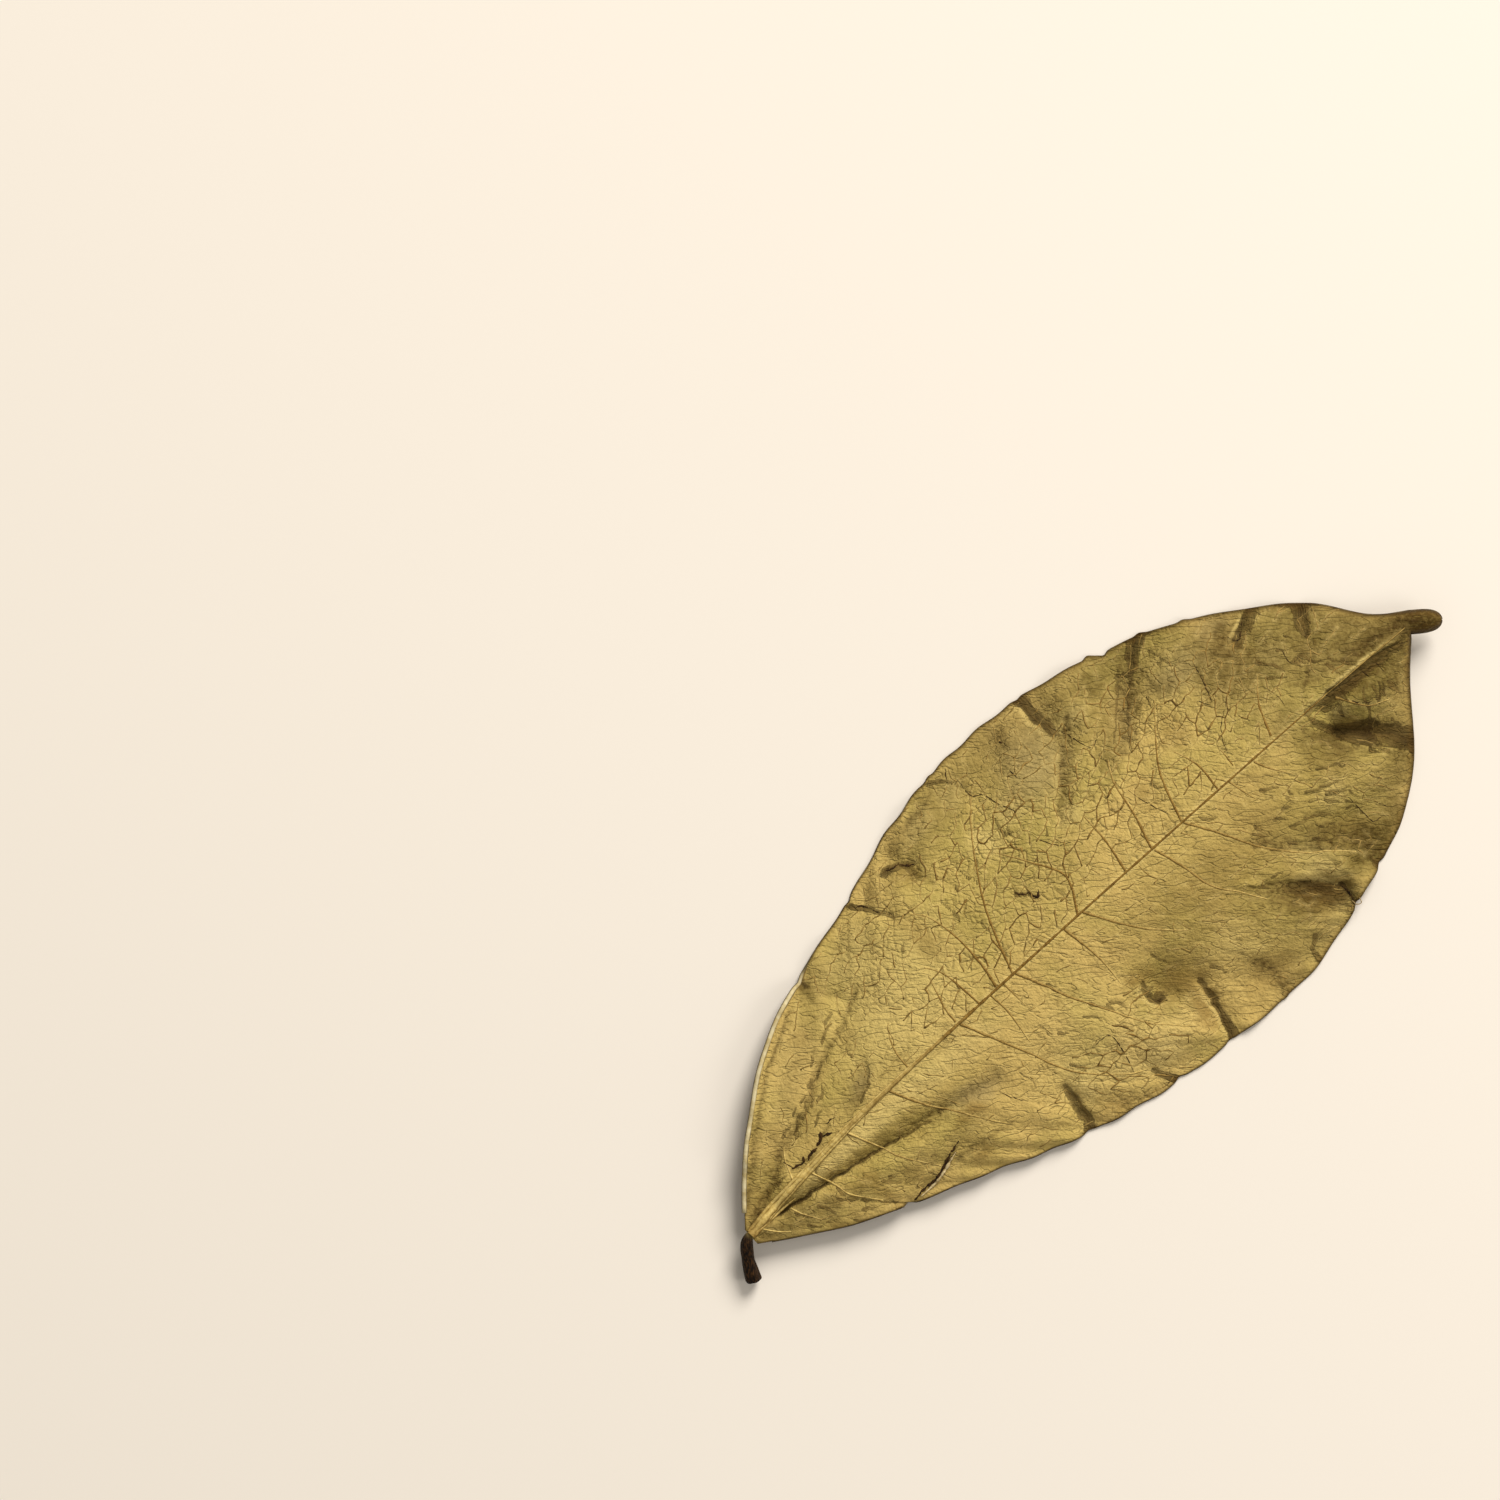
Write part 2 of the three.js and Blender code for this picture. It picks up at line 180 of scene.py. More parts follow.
# %% Where each row runs
ROWS_ON_BLADE = 448
ROWS_BETWEEN = 5
ROWS_ON_TIP = 22
COLUMNS = 100
UPPER_SWEEP = 19  # how far a row in the middle of the leaf runs forward
LOWER_SWEEP = 23
SWEEP_POWER = 0.87
VEIN_BEND = (0.13, 0.55)  # where a row bends: its share of the way along the leaf, and across it
TIP_START = (136.0, 2.6)
TIP_TURN = math.radians(-37)
TIP_LENGTH = 4.9
TIP_HALF_WIDTH = 1.7
TIP_HEIGHTS = (3.7, 3.4, 3.2)  # of the middle and both sides
TIP_END = 0.49 * math.pi  # just short of a quarter turn, so that the last row keeps a width
ROLL_START = 126
ROLL_AT_END = 0.5
(
    ROOT_X, ROOT_Y, UPPER_X, UPPER_Y, LOWER_X, LOWER_Y, ROOT_Z, UPPER_Z, LOWER_Z, BEND_X, BEND_Y, ROLL,
) = range(12)


def blade_rows(x):
    """One row of numbers for each root x on the midrib."""
    forward = np.sin(math.pi * (x / BLADE_END) ** SWEEP_POWER)
    upper_x = x + UPPER_SWEEP * forward
    lower_x = x + LOWER_SWEEP * forward
    bend_along, bend_across = (np.full(x.shape, share) for share in VEIN_BEND)
    return np.stack([
        x, midrib(x), upper_x, upper_margin(upper_x), lower_x, lower_margin(lower_x),
        midrib_height(x),
        upper_edge_height(upper_x) + MARGIN_RIPPLE * margin_wave(upper_x, 1),
        lower_edge_height(lower_x) + MARGIN_RIPPLE * margin_wave(lower_x, 3),
        bend_along, bend_across, ROLL_AT_END * smoothstep(x, ROLL_START, BLADE_END),
    ], axis=1)


def tip_rows(along):
    """The same for shares 0 to 1 of the drip tip's length."""
    cos, sin = math.cos(TIP_TURN), math.sin(TIP_TURN)
    half = TIP_HALF_WIDTH * np.sqrt(1 - along**4)
    x = TIP_START[0] + TIP_LENGTH * along * cos
    y = TIP_START[1] + TIP_LENGTH * along * sin
    middle, upper, lower = (np.full(x.shape, height) for height in TIP_HEIGHTS)
    even = np.full(x.shape, 0.5)
    return np.stack([
        x, y, x - half * sin, y + half * cos, x + half * sin, y - half * cos,
        middle, upper, lower, even, even, half / TIP_HALF_WIDTH,
    ], axis=1)


on_blade = blade_rows(np.linspace(0, BLADE_END, ROWS_ON_BLADE))
on_tip = tip_rows(np.sin(np.linspace(0, TIP_END, ROWS_ON_TIP)))
steps = np.linspace(0, 1, ROWS_BETWEEN + 2)[1:-1, None]
between = on_blade[-1] * (1 - steps) + on_tip[0] * steps
ROWS = np.vstack([on_blade, between, on_tip])
print("rows:", len(ROWS), "columns to each side:", COLUMNS)

# %% [markdown]
# Folds, creases and veins are all drawn as lines on the plan. What they do to the blade depends on
# the distance from the line, on the side of it, and on how far along it a place is, so one function
# works these out for all vertices at once.

# %% Distance from a line


def from_line(x, y, points):
    """Distance of every place from a line, its side (1 left, -1 right) and its share along it."""
    nearest = np.full(x.shape, np.inf)
    side = np.ones(x.shape)
    share = np.zeros(x.shape)
    for i, ((ax, ay), (bx, by)) in enumerate(zip(points, points[1:])):
        dx, dy = bx - ax, by - ay
        t = np.clip(((x - ax) * dx + (y - ay) * dy) / (dx * dx + dy * dy), 0, 1)
        off_x, off_y = x - ax - t * dx, y - ay - t * dy
        distance = np.hypot(off_x, off_y)
        closer = distance < nearest
        nearest = np.where(closer, distance, nearest)
        side = np.where(closer, np.where(dx * off_y >= dy * off_x, 1.0, -1.0), side)
        share = np.where(closer, (i + t) / (len(points) - 1), share)
    return nearest, side, share


off_rib = from_line(np.array([50.0]), np.array([10.0]), ((0, 0), (100, 0)))
print("distance, side and share of one place:", [float(v[0]) for v in off_rib])

# %% [markdown]
# ## Folds
#
# The large folds are the ones that the solid has: each follows a short line, reaches a few
# millimetres to both sides and sinks or lifts the blade. It could be done with a sculpting brush,
# but listed folds can be moved and tuned one by one.

# %% The large folds
FOLD_FADE = 0.6
FOLD_SHARPNESS = 1.45  # 2 would give a round valley, 1 a pointed one
FOLDS = (  # the line from its strongest end, reach and rise
    (((6, -0.2), (27, -3.6), (43, -6.6)), 1.6, -1.5),  # foot, below the midrib
    (((14, -4.2), (30, -7.2), (39, -8.8)), 2.2, 0.8),
    (((6, 4), (18, 9), (36, 17)), 2.1, -1.2),  # foot, above the midrib
    (((13, 3.9), (21, 5.4), (30, 8)), 1.8, -0.7),
    (((7, 9.2), (15, 15.6), (26, 22.2)), 1.5, 1.1),  # margin rolled up
    (((22, -12.6), (27, -12), (33, -10.2)), 1.5, -0.9),  # old tear
    (((49, -22.5), (50.5, -15)), 1.8, -1.7),  # pinches in the lower margin
    (((63.5, -26), (62, -21)), 1.7, -1.0),
    (((74.5, -26.5), (76.5, -17)), 1.9, -2.2),
    (((71.5, -13.5), (76.5, -12.5)), 3.8, -2.1),  # dent
    (((101, -20.5), (94, -13)), 3.6, -2.8),  # deep hollow and its far side
    (((104, -22), (104, -12)), 2.6, 1.6),
    (((113.5, -17.5), (106, -10)), 3.2, -1.9),
    (((117, -2), (121, -6), (125.5, -10)), 2.6, -3.0),  # valley near the tip
    (((121, -0.5), (130, -2.5)), 2.6, 1.0),
    (((117, 1.3), (130, 1.3)), 1.2, -0.9),
    (((32, 25), (34.5, 17)), 1.9, -1.0),  # folds of the upper margin
    (((45.5, 28), (49, 20.5)), 2.2, -1.0),
    (((54, 29), (56, 22)), 2.0, -1.2),
    (((67, 34), (69, 27)), 2.2, -1.2),
    (((85, 34), (86, 25), (77, 16.5)), 2.8, -2.3),
    (((103, 30.5), (98, 22), (91, 16)), 2.8, -2.6),
    (((114, 24), (117, 15)), 2.4, -1.6),
    (((127, 17), (122, 12.5)), 2.4, -1.6),
)


def large_folds(x, y):
    total = np.zeros(x.shape)
    for points, reach, rise in FOLDS:
        nearest, _, share = from_line(x, y, points)
        total += rise * (1 - FOLD_FADE * share) * np.exp(-((nearest / reach) ** FOLD_SHARPNESS))
    return total


print(len(FOLDS), "large folds")

# %% [markdown]
# ## Creases
#
# A dry crease is sharper than a fold: the skin breaks along a line, drops at once on one side and
# comes back slowly on the other. So each crease has two reaches, left and right of its direction,
# a rise, and a darkness, which is partly the brown stain of an old crease and partly painted shade
# in its fold. These were read off the real leaf.

# %% The creases
CREASES = (  # the line from its strongest end, reach to the left, to the right, rise, darkness
    # foot, below the midrib
    (((2, 0.3), (13, -1.2), (27, -3.7), (34, -5)), 1.7, 0.42, -0.35, 0.58),
    (((3, 0.2), (13, -1.3), (23.4, -3.0), (32, -5)), 0.32, 0.3, -0.25, 0.92),
    (((33, -4.6), (38, -5.6), (44, -6.6)), 1.9, 1.6, -0.1, 0.35),
    # foot, above the midrib
    (((3, 2.4), (8, 4), (12, 6.8), (18, 8.5), (25, 12.5), (30, 14), (37, 17.3)), 0.8, 0.7, -0.25, 0.58),
    (((1, 1.5), (5, 2.6), (8, 4)), 0.42, 1, -0.15, 0.45),
    (((11.5, 3.6), (14, 3.1), (16, 3.5), (20, 4.8)), 0.42, 0.5, -0.3, 0.45),
    (((25.3, 4.3), (28.5, 5.7), (30.6, 8)), 2.0, 0.42, -0.3, 0.48),
    (((25.8, 4.2), (28.7, 5.4), (30.8, 7.8)), 0.2, 0.15, -0.1, 0.65),
    # inside the rolled margin
    (((2.5, 4.2), (5.8, 6.9), (10.8, 11.4), (18, 16.9), (27, 21.6)), 0.45, 0.8, -0.2, 0.55),
    # old tear
    (((21.8, -12.5), (27, -12), (29, -11.4), (33, -10)), 1, 0.42, 0.2, 0.35),
    (((31, -12), (34, -12.2), (41, -13.4)), 0.42, 0.6, -0.2, 0.50),
    (((12, -3), (16, -6), (17, -9)), 0.5, 1.3, -0.1, 0.28),
    (((24, -8.5), (28, -10.3)), 1.4, 0.42, -0.1, 0.28),
    # pinches in the lower margin
    (((49.3, -22.2), (50.0, -19), (50.4, -14.8)), 1.1, 1.0, -0.7, 0.92),
    (((49.3, -22.2), (49.2, -19.5), (49.9, -16)), 0.3, 0.3, -0.15, 0.95),
    (((64.0, -26.2), (62.8, -24), (62, -22)), 0.5, 0.9, -0.4, 0.95),
    (((55.5, -23.4), (60, -24.6), (63.5, -25.2)), 1.0, 0.6, -0.1, 0.50),
    (((74.2, -27), (75.3, -22.5), (75.9, -19.5), (76.2, -16.5)), 0.42, 1.2, -0.6, 0.97),
    # round the dent
    (((69.8, -15.0), (68.9, -13.8), (68.8, -12.2), (69.5, -10.8)), 0.38, 1.0, -0.4, 0.97),
    (((70.4, -12.5), (67.6, -11.2)), 0.2, 0.25, -0.15, 0.70),
    (((71.4, -15.4), (70.6, -11.5)), 0.6, 4.0, -0.2, 0.15),
    (((74.5, -9), (77.5, -12.4), (77, -16)), 1.6, 1.6, -0.1, 0.15),
    # round the deep hollow
    (((93.4, -12.3), (96, -14.3), (98.9, -16.8), (102.1, -19.8)), 0.42, 4.2, -0.5, 0.59),
    (((101.6, -20.6), (99.4, -17.6), (96.6, -15.0)), 3.0, 0.42, -0.1, 0.66),
    (((102.1, -20), (102, -21.6), (101.8, -23.8)), 0.35, 0.5, -0.6, 0.95),
    (((97.3, -8.8), (100, -11.3), (104.2, -15.2)), 3, 0.42, -0.3, 0.50),
    (((104.5, -12), (109, -17.5), (108.5, -21.5)), 2.6, 1.4, -0.1, 0.50),
    (((108.2, -22.2), (108.2, -20.4)), 0.6, 0.6, -0.4, 0.80),
    (((92.2, -26.4), (92.2, -24.4), (94, -23.4)), 0.6, 0.5, -0.3, 0.75),
    (((84.9, -26.6), (85.6, -24), (84.4, -20)), 1, 1.6, -0.2, 0.55),
    (((83.5, -17.5), (84.6, -20), (86, -23)), 0.42, 1.2, -0.1, 0.35),
    # valley near the tip
    (((117.8, -3.6), (115.9, -0.8), (115.0, 1.6)), 0.9, 1.1, -0.4, 0.95),
    (((120.6, -5.8), (118.8, -4.3), (116.8, -2.4)), 2.1, 2.1, -0.5, 0.97),
    (((125.0, -12.2), (123.4, -9.2), (121.6, -6.8), (120.2, -5.4)), 1.7, 2.0, -0.4, 0.97),
    (((115.4, 0.4), (116.6, -3.6), (119.2, -7), (122.2, -10.2)), 0.3, 0.3, -0.05, 0.85),
    (((113.2, 1.2), (114.4, -2), (116, -5), (119, -8.2)), 0.9, 0.7, -0.04, 0.50),
    # along the midrib near the tip
    (((119.0, 2.9), (123, 2.8), (127, 2.45), (132.4, 1.7)), 0.35, 2.1, -0.6, 0.88),
    (((136.5, 2.2), (139.8, 0.6)), 2.4, 2.4, 0.0, 0.59),
    (((119.8, 1.9), (124, 1.6), (128, 1.5)), 0.8, 0.7, -0.2, 0.35),
    (((115.2, 3.1), (119.5, 3.05)), 0.42, 0.7, -0.3, 0.70),
    (((117.6, 0.2), (118.6, -1), (120, -2.4)), 0.42, 0.5, -0.2, 0.45),
    (((136, 3.1), (131, 3.9), (125, 4.9)), 1.0, 1.5, -0.15, 0.52),
    (((117, 6.6), (124, 5.2), (131, 4.0)), 1.5, 1.2, -0.15, 0.30),
    (((121.5, 8.5), (117, 5.8)), 0.6, 0.42, -0.1, 0.35),
    # folds of the upper margin
    (((30.9, 24.4), (31.8, 21.4), (34, 18.4)), 0.9, 0.42, -0.35, 0.50),
    (((30.7, 24.6), (31.6, 22.4)), 0.7, 0.3, -0.1, 0.75),
    (((44.7, 27), (46.2, 25.4), (48.4, 21.8)), 0.42, 0.7, -0.3, 0.90),
    (((51.8, 27.8), (54.2, 27), (56, 25.8)), 0.42, 0.9, -0.3, 0.85),
    (((54.8, 25.6), (56.2, 21.5)), 0.5, 0.7, -0.2, 0.50),
    (((58, 30.5), (63, 31), (66, 32.6)), 0.42, 0.6, -0.15, 0.40),
    (((66, 33), (67.6, 31.9), (69, 30.4)), 0.5, 0.42, -0.3, 0.80),
    (((69, 30.4), (69.5, 27)), 0.3, 0.3, -0.1, 0.50),
    (((84.0, 34.6), (84.1, 30), (84.8, 26)), 1.9, 0.42, -0.5, 0.97),
    (((86, 25.2), (82.6, 22), (79.5, 18.6), (76.6, 15.8)), 2.3, 0.42, -0.35, 0.55),
    (((88, 26.4), (86.4, 25)), 0.5, 0.5, -0.2, 0.55),
    (((78.2, 31.6), (78, 29.6)), 1.0, 1.1, -0.15, 0.50),
    (((100.6, 27.6), (98.6, 25.2), (95.2, 21.4), (90.8, 17)), 1.9, 1.7, -0.4, 0.45),
    (((101.2, 27), (98.8, 24), (96.6, 22.2), (92.2, 16.8)), 0.3, 0.3, -0.1, 0.80),
    (((98.6, 26.6), (95.4, 23.2), (90.8, 19)), 0.25, 0.25, -0.1, 0.62),
    (((105.4, 29.0), (102.8, 27.8), (100.4, 25.2)), 1.4, 1.6, -0.4, 0.97),
    (((101, 27.4), (101, 22)), 0.4, 0.3, -0.25, 0.50),
    (((113, 21), (114.4, 18.6), (114.9, 15.2)), 0.42, 0.7, -0.25, 0.40),
    (((119.0, 20.2), (116.8, 19.0), (114.4, 17.9)), 1.7, 0.42, -0.35, 0.88),
    (((107.5, 19), (106.8, 16), (105.6, 13.6)), 0.3, 0.4, -0.2, 0.45),
    (((109.5, 19.6), (113, 17), (113, 13.5)), 1.4, 1.2, -0.1, 0.35),
    (((126.4, 16.6), (124.8, 14.6), (123.4, 12.2)), 1.8, 1.5, -0.35, 0.95),
    (((124, 18.2), (127.8, 14.2)), 1.0, 1.0, -0.2, 0.90),
    (((121.4, 9.6), (123.4, 12)), 1.2, 1.2, -0.1, 0.30),
    (((64.4, 12.2), (65.6, 10.8), (66.4, 9.4)), 0.3, 0.35, -0.2, 0.80),
    # the small scar in the middle
)
print(len(CREASES), "creases")

# %% [markdown]
# Between the creases the dry skin has short cracks, too many to draw. They are scattered by seeded
# chance over the zones where the leaf shows them, and in each zone they run roughly one way.

# %% Short cracks
CRACK_ZONES = (  # middle, half length, half width and turn of a zone; the way its cracks run; their number
    ((106, -8), 13, 7, -30, -48, 30), ((120, 9), 8, 5, -35, -60, 14), ((93, 20), 14, 7, 10, -75, 16),
    ((18, 8), 12, 4, 30, 30, 20), ((20, -8), 12, 3.5, -20, -55, 18), ((64, -12), 16, 8, -10, -65, 12),
    ((122, -7), 6, 4, 45, -60, 8), ((55, 16), 18, 9, 15, 75, 12), ((123, -2), 6, 2, -15, 70, 10),
)
CRACK_SEED = 5
CRACK_SCATTER = 0.5
CRACK_TURN = 25  # degrees off the way of its zone
CRACK_HALF_LENGTH = (0.3, 1.5)
CRACK_BEND = 0.4
CRACK_REACH = (0.16, 0.25)
CRACK_SOFTER = 1.4  # the right side's reach against the left one's
CRACK_RISE = -0.12
CRACK_DARKNESS = (0.60, 0.78)


def short_cracks():
    """Rows like those of the creases."""
    draw = random.Random(CRACK_SEED)
    rows = []
    for (x, y), half_length, half_width, turn, way, number in CRACK_ZONES:
        cos, sin = math.cos(math.radians(turn)), math.sin(math.radians(turn))
        for _ in range(number):
            along = draw.gauss(0, CRACK_SCATTER) * half_length
            across = draw.gauss(0, CRACK_SCATTER) * half_width
            here = Vector((x + along * cos - across * sin, y + along * sin + across * cos))
            heading = math.radians(way + draw.uniform(-CRACK_TURN, CRACK_TURN))
            half = Vector((math.cos(heading), math.sin(heading))) * draw.uniform(*CRACK_HALF_LENGTH)
            bend = Vector((-half.y, half.x)) * draw.uniform(-CRACK_BEND, CRACK_BEND)
            line = (tuple(here - half), tuple(here + bend), tuple(here + half))
            reach = draw.uniform(*CRACK_REACH)
            darkness = draw.uniform(*CRACK_DARKNESS)
            rows.append((line, reach, CRACK_SOFTER * reach, CRACK_RISE, darkness))
    return tuple(rows)


CRACKS = short_cracks()
print(len(CRACKS), "short cracks")

# %% [markdown]
# A crease leaves more on the blade than its height. Faint ones only leave a soft `shade`, which is
# painted shade. Dark ones have a crisp border, and their darkness is partly the brown stain of an
# old crease and partly painted shade: `crease` rises to 1 on their line, `dark` says how dark they
# are, and `cross` how far across a place lies, so that the dark can be drawn out lengthwise. A `rim`
# is a painted highlight: the pale line along the sharp edge of a crease that is sharp on one side
# only. The material reads these marks later. The lines are drawn on places that noise has moved a
# little aside, so no crease comes out straight.

# %% What creases do to the blade
CREASE_FADE = 0.25  # a crease is shallower and narrower at its end
CREASE_TAPER = 0.45
CREASE_SHARPNESS = 1.4
CRISP_FROM = 0.6  # creases at least this dark have a crisp border, the others are soft shades
CRISP_REACH = 2  # how many of its reaches a dark crease is stained
RIM_REACHES = (0.45, 0.9)  # a rim needs a reach below the first and a reach above the second
RIM_PLACE = (0.35, 0.28)  # how far beyond the sharp side it lies, and how wide it is
EDGE_GRAIN = ((0.40, 1.8), (0.16, 0.7))  # how far a crease wanders, and the size of its waves


def grain(x, y, size, seed):
    """Smooth noise between -1 and 1 at every place, with grains of the given size."""
    spots = zip((x / size).flat, (y / size).flat)
    return np.array([noise.noise(Vector((a, b, seed))) for a, b in spots]).reshape(x.shape)


def wandering(x, y):
    """The places a little aside, so that lines drawn with them come out ragged."""
    aside = [(far * grain(x, y, size, 1), far * grain(x, y, size, 2)) for far, size in EDGE_GRAIN]
    return x + sum(a for a, _ in aside), y + sum(b for _, b in aside)


def creases(x, y):
    """How far the creases sink the blade, and the marks that they leave."""
    rise, near, dark, cross, rim = np.zeros((5, *x.shape))
    clear = np.ones(x.shape)
    for points, left, right, deep, stain_and_shade in CREASES + CRACKS:
        nearest, side, share = from_line(x, y, points)
        far = nearest / (np.where(side > 0, left, right) * (1 - CREASE_TAPER * share))
        fade = 1 - CREASE_FADE * share
        rise += deep * fade * np.exp(-(far**CREASE_SHARPNESS))
        # faint creases leave only painted shade; dark ones are partly stain, partly painted shade
        if stain_and_shade < CRISP_FROM:
            clear *= 1 - stain_and_shade * fade * np.exp(-(far**2))
            continue
        here = np.maximum(0, 1 - far / CRISP_REACH)
        dark = np.where(here > near, stain_and_shade * fade, dark)
        cross = np.where(here > near, side * nearest, cross)
        near = np.maximum(near, here)
        sharp, soft = sorted((left, right))
        # the rim is a painted highlight: a pale line along the sharp, lit edge of the crease
        if sharp < RIM_REACHES[0] and soft > RIM_REACHES[1]:
            beyond = (nearest - sharp - RIM_PLACE[0]) / RIM_PLACE[1]
            lit = ((side > 0) == (left < right)) * np.sin(math.pi * share) ** 0.5
            rim = np.maximum(rim, lit * np.exp(-(beyond**2)))
    return rise, {"crease": near, "dark": dark, "cross": cross, "rim": rim, "shade": 1 - clear}


on_crease = [value.item() for value in grain(np.array([10.0, 11.0]), np.zeros(2), 1.8, 1)]
print("noise at two places:", [round(value, 2) for value in on_crease])

# %% [markdown]
# ## Relief
#
# The downward face follows the broad arch from midrib to margin, the folds, the creases and a slow
# buckle, and is pressed flat where it meets the table. The upward face lies one thin skin above it
# and carries the fine relief: wrinkles that all run one way, a crumple, and small cobbles.

# %% Places and heights on the blade
TIP_HALF_THICKNESS = 0.75
ARCH_POWER = 1.7
CONTACT = 0.45  # how softly the blade comes down on the table
BUCKLE = 0.14
BUCKLE_LENGTHS = ((3.1, 4), (-11, 3.7))  # of its two waves, along and across the leaf


def of_row(rows, part):
    """One part of every row, as a column that spreads over all places of the row."""
    return rows[:, part, None]


def places(rows, out, upper):
    """Plan position of shares `out` of the way from the midrib to one margin, on every row."""
    start_x, start_y = of_row(rows, ROOT_X), of_row(rows, ROOT_Y)
    end_x = of_row(rows, UPPER_X if upper else LOWER_X)
    end_y = of_row(rows, UPPER_Y if upper else LOWER_Y)
    middle_x = start_x + (end_x - start_x) * of_row(rows, BEND_X)
    middle_y = start_y + (end_y - start_y) * of_row(rows, BEND_Y)
    a, b, c = (1 - out) ** 2, 2 * out * (1 - out), out**2
    return a * start_x + b * middle_x + c * end_x, a * start_y + b * middle_y + c * end_y


def under_face(rows, out, upper, x, y):
    """Height of the downward face, how much it is rolled, and the marks of its creases."""
    middle, edge = of_row(rows, ROOT_Z), of_row(rows, UPPER_Z if upper else LOWER_Z)
    arch = middle + (edge - middle) * out**ARCH_POWER
    one, other = (np.sin(x / along + y / across) for along, across in BUCKLE_LENGTHS)
    buckle = BUCKLE * one * other * np.sqrt(out)
    aside_x, aside_y = wandering(x, y)
    rise, marks = creases(aside_x, aside_y)
    roll = of_row(rows, ROLL) * np.sqrt(np.maximum(0, 1 - out**2))
    height = arch + large_folds(aside_x, aside_y) + buckle + rise - TIP_HALF_THICKNESS * roll
    return (height + np.sqrt(height**2 + CONTACT**2)) / 2, roll, marks


print("arch from", float(midrib_height(70)), "mm at the midrib to", float(upper_edge_height(60)))

# %% Wrinkles
WRINKLE_TURN = math.radians(-42)
WRINKLE_HEIGHT = 0.15
LONG_WRINKLES = (6, 1.5, 3)  # how many times longer than wide, the width in mm, and a seed
SHORT_WRINKLES = (3, 0.7, 4)
CRUMPLE = (4.5, 5)  # size and seed
COBBLES = (1.3, 23)
WRINKLE_SHARES = (0.6, 0.9, 0.35)  # of short wrinkles, crumple and cobbles; long wrinkles have 1
WRINKLED_LEAST = 0.12
WRINKLED_MORE = 0.75  # added towards the tip and on the lower half
WRINKLED_ALONG = (72, 100)
WRINKLED_ACROSS = (-6, 6)


def streaks(x, y, longer, width, seed):
    """Noise drawn out along the wrinkles."""
    cos, sin = math.cos(WRINKLE_TURN), math.sin(WRINKLE_TURN)
    return grain((x * cos + y * sin) / longer, y * cos - x * sin, width, seed)


def wrinkles(x, y):
    """Height of the fine relief. Folding noise over at 0 gives it sharp crests."""
    long_ones = 1 - 2 * np.abs(streaks(x, y, *LONG_WRINKLES))
    short_ones = streaks(x, y, *SHORT_WRINKLES)
    crumple = 1 - 2 * np.abs(grain(x, y, *CRUMPLE))
    short_share, crumple_share, cobble_share = WRINKLE_SHARES
    towards = WRINKLED_MORE * smoothstep(x, *WRINKLED_ALONG) * smoothstep(-y, *WRINKLED_ACROSS)
    lined = (WRINKLED_LEAST + towards) * (long_ones + short_share * short_ones)
    return WRINKLE_HEIGHT * (lined + crumple_share * crumple + cobble_share * grain(x, y, *COBBLES))


print("wrinkles", WRINKLE_HEIGHT, "mm high")

# %% [markdown]
# ## Veins
#
# The side veins are drawn one by one, because each one on the real leaf has its own bend.
# Short ones end freely between the long ones. They come before the blade, whose skin domes up
# between them.

# %% The lines of the veins
LOWER_VEINS = (
    ((1.8, 0.3), (3.3, -1.7), (5, -3.3)), ((7.3, -0.7), (8.2, -2.7), (9.7, -5)),
    ((13.3, 1.3), (14.8, -2.7), (15.5, -5), (18.5, -9)),
    ((21.4, 2.2), (23.8, -3.2), (25, -6), (28.5, -11)),
    ((30.3, 2.8), (32.7, -2), (35.7, -6.3), (39, -11.3), (40.3, -13)),
    ((45, 3.1), (47.7, -2.7), (49.7, -7), (52, -12.3), (54.7, -16), (58.7, -19.7), (63, -22)),
    ((56.3, 3.2), (58.3, -1), (60, -5), (62.3, -9), (66.3, -16), (71.3, -21.2)),
    ((70, 3.3), (73.2, -2), (76, -5.6), (80, -9.5)),
    ((84.3, 3), (85.8, -1.7), (87, -6.7), (89.7, -10.5), (92, -14)),
    ((90.3, 3.1), (93.3, -1.7), (96.7, -7.7), (101.3, -13), (104, -15), (107, -18)),
    ((99.5, 3.1), (100.2, 0.3), (101, -2)), ((104.3, 2.8), (105.4, 0.5), (107.5, -2.5)),
    ((120, 1.7), (122.7, -2.3), (126, -4)), ((66.2, 3.2), (67.2, -3.3), (67.1, -8.7)),
    ((51.3, 3.2), (51.6, -0.5), (51, -6)), ((53.9, 3.2), (54.2, -1.5)),
)
UPPER_VEINS = (
    ((10.3, 2), (11.4, 5), (12.7, 7)), ((34.8, 3.4), (35, 6.7), (36.4, 10)),
    ((44.7, 3.8), (44.9, 6.5), (46.3, 11.7)), ((49.2, 3.5), (48.3, 10), (46.6, 13)),
    ((52.8, 3.7), (53.4, 8), (53.3, 13.3), (52.2, 18.2), (50.5, 20.3)),
    ((56, 3.6), (58, 9.7), (60.3, 15), (64.7, 22), (68.7, 26.7), (70, 27)),
    ((69.2, 3.6), (71.7, 9), (69, 14.3), (66, 19)), ((78.9, 3.6), (79.7, 8.7), (79.8, 14)),
    ((84.1, 3.6), (85.6, 9), (86.5, 14.3), (88.2, 17.5)),
    ((90.2, 3.6), (92.7, 11), (96.7, 16.3), (99.5, 19.5)), ((108.8, 4), (110.7, 8.7), (113.3, 11.8)),
    ((97.5, 3.5), (97.7, 8), (96.4, 12)), ((101.6, 4.5), (101.8, 7.5)),
)
TRAIL_STEPS = 12


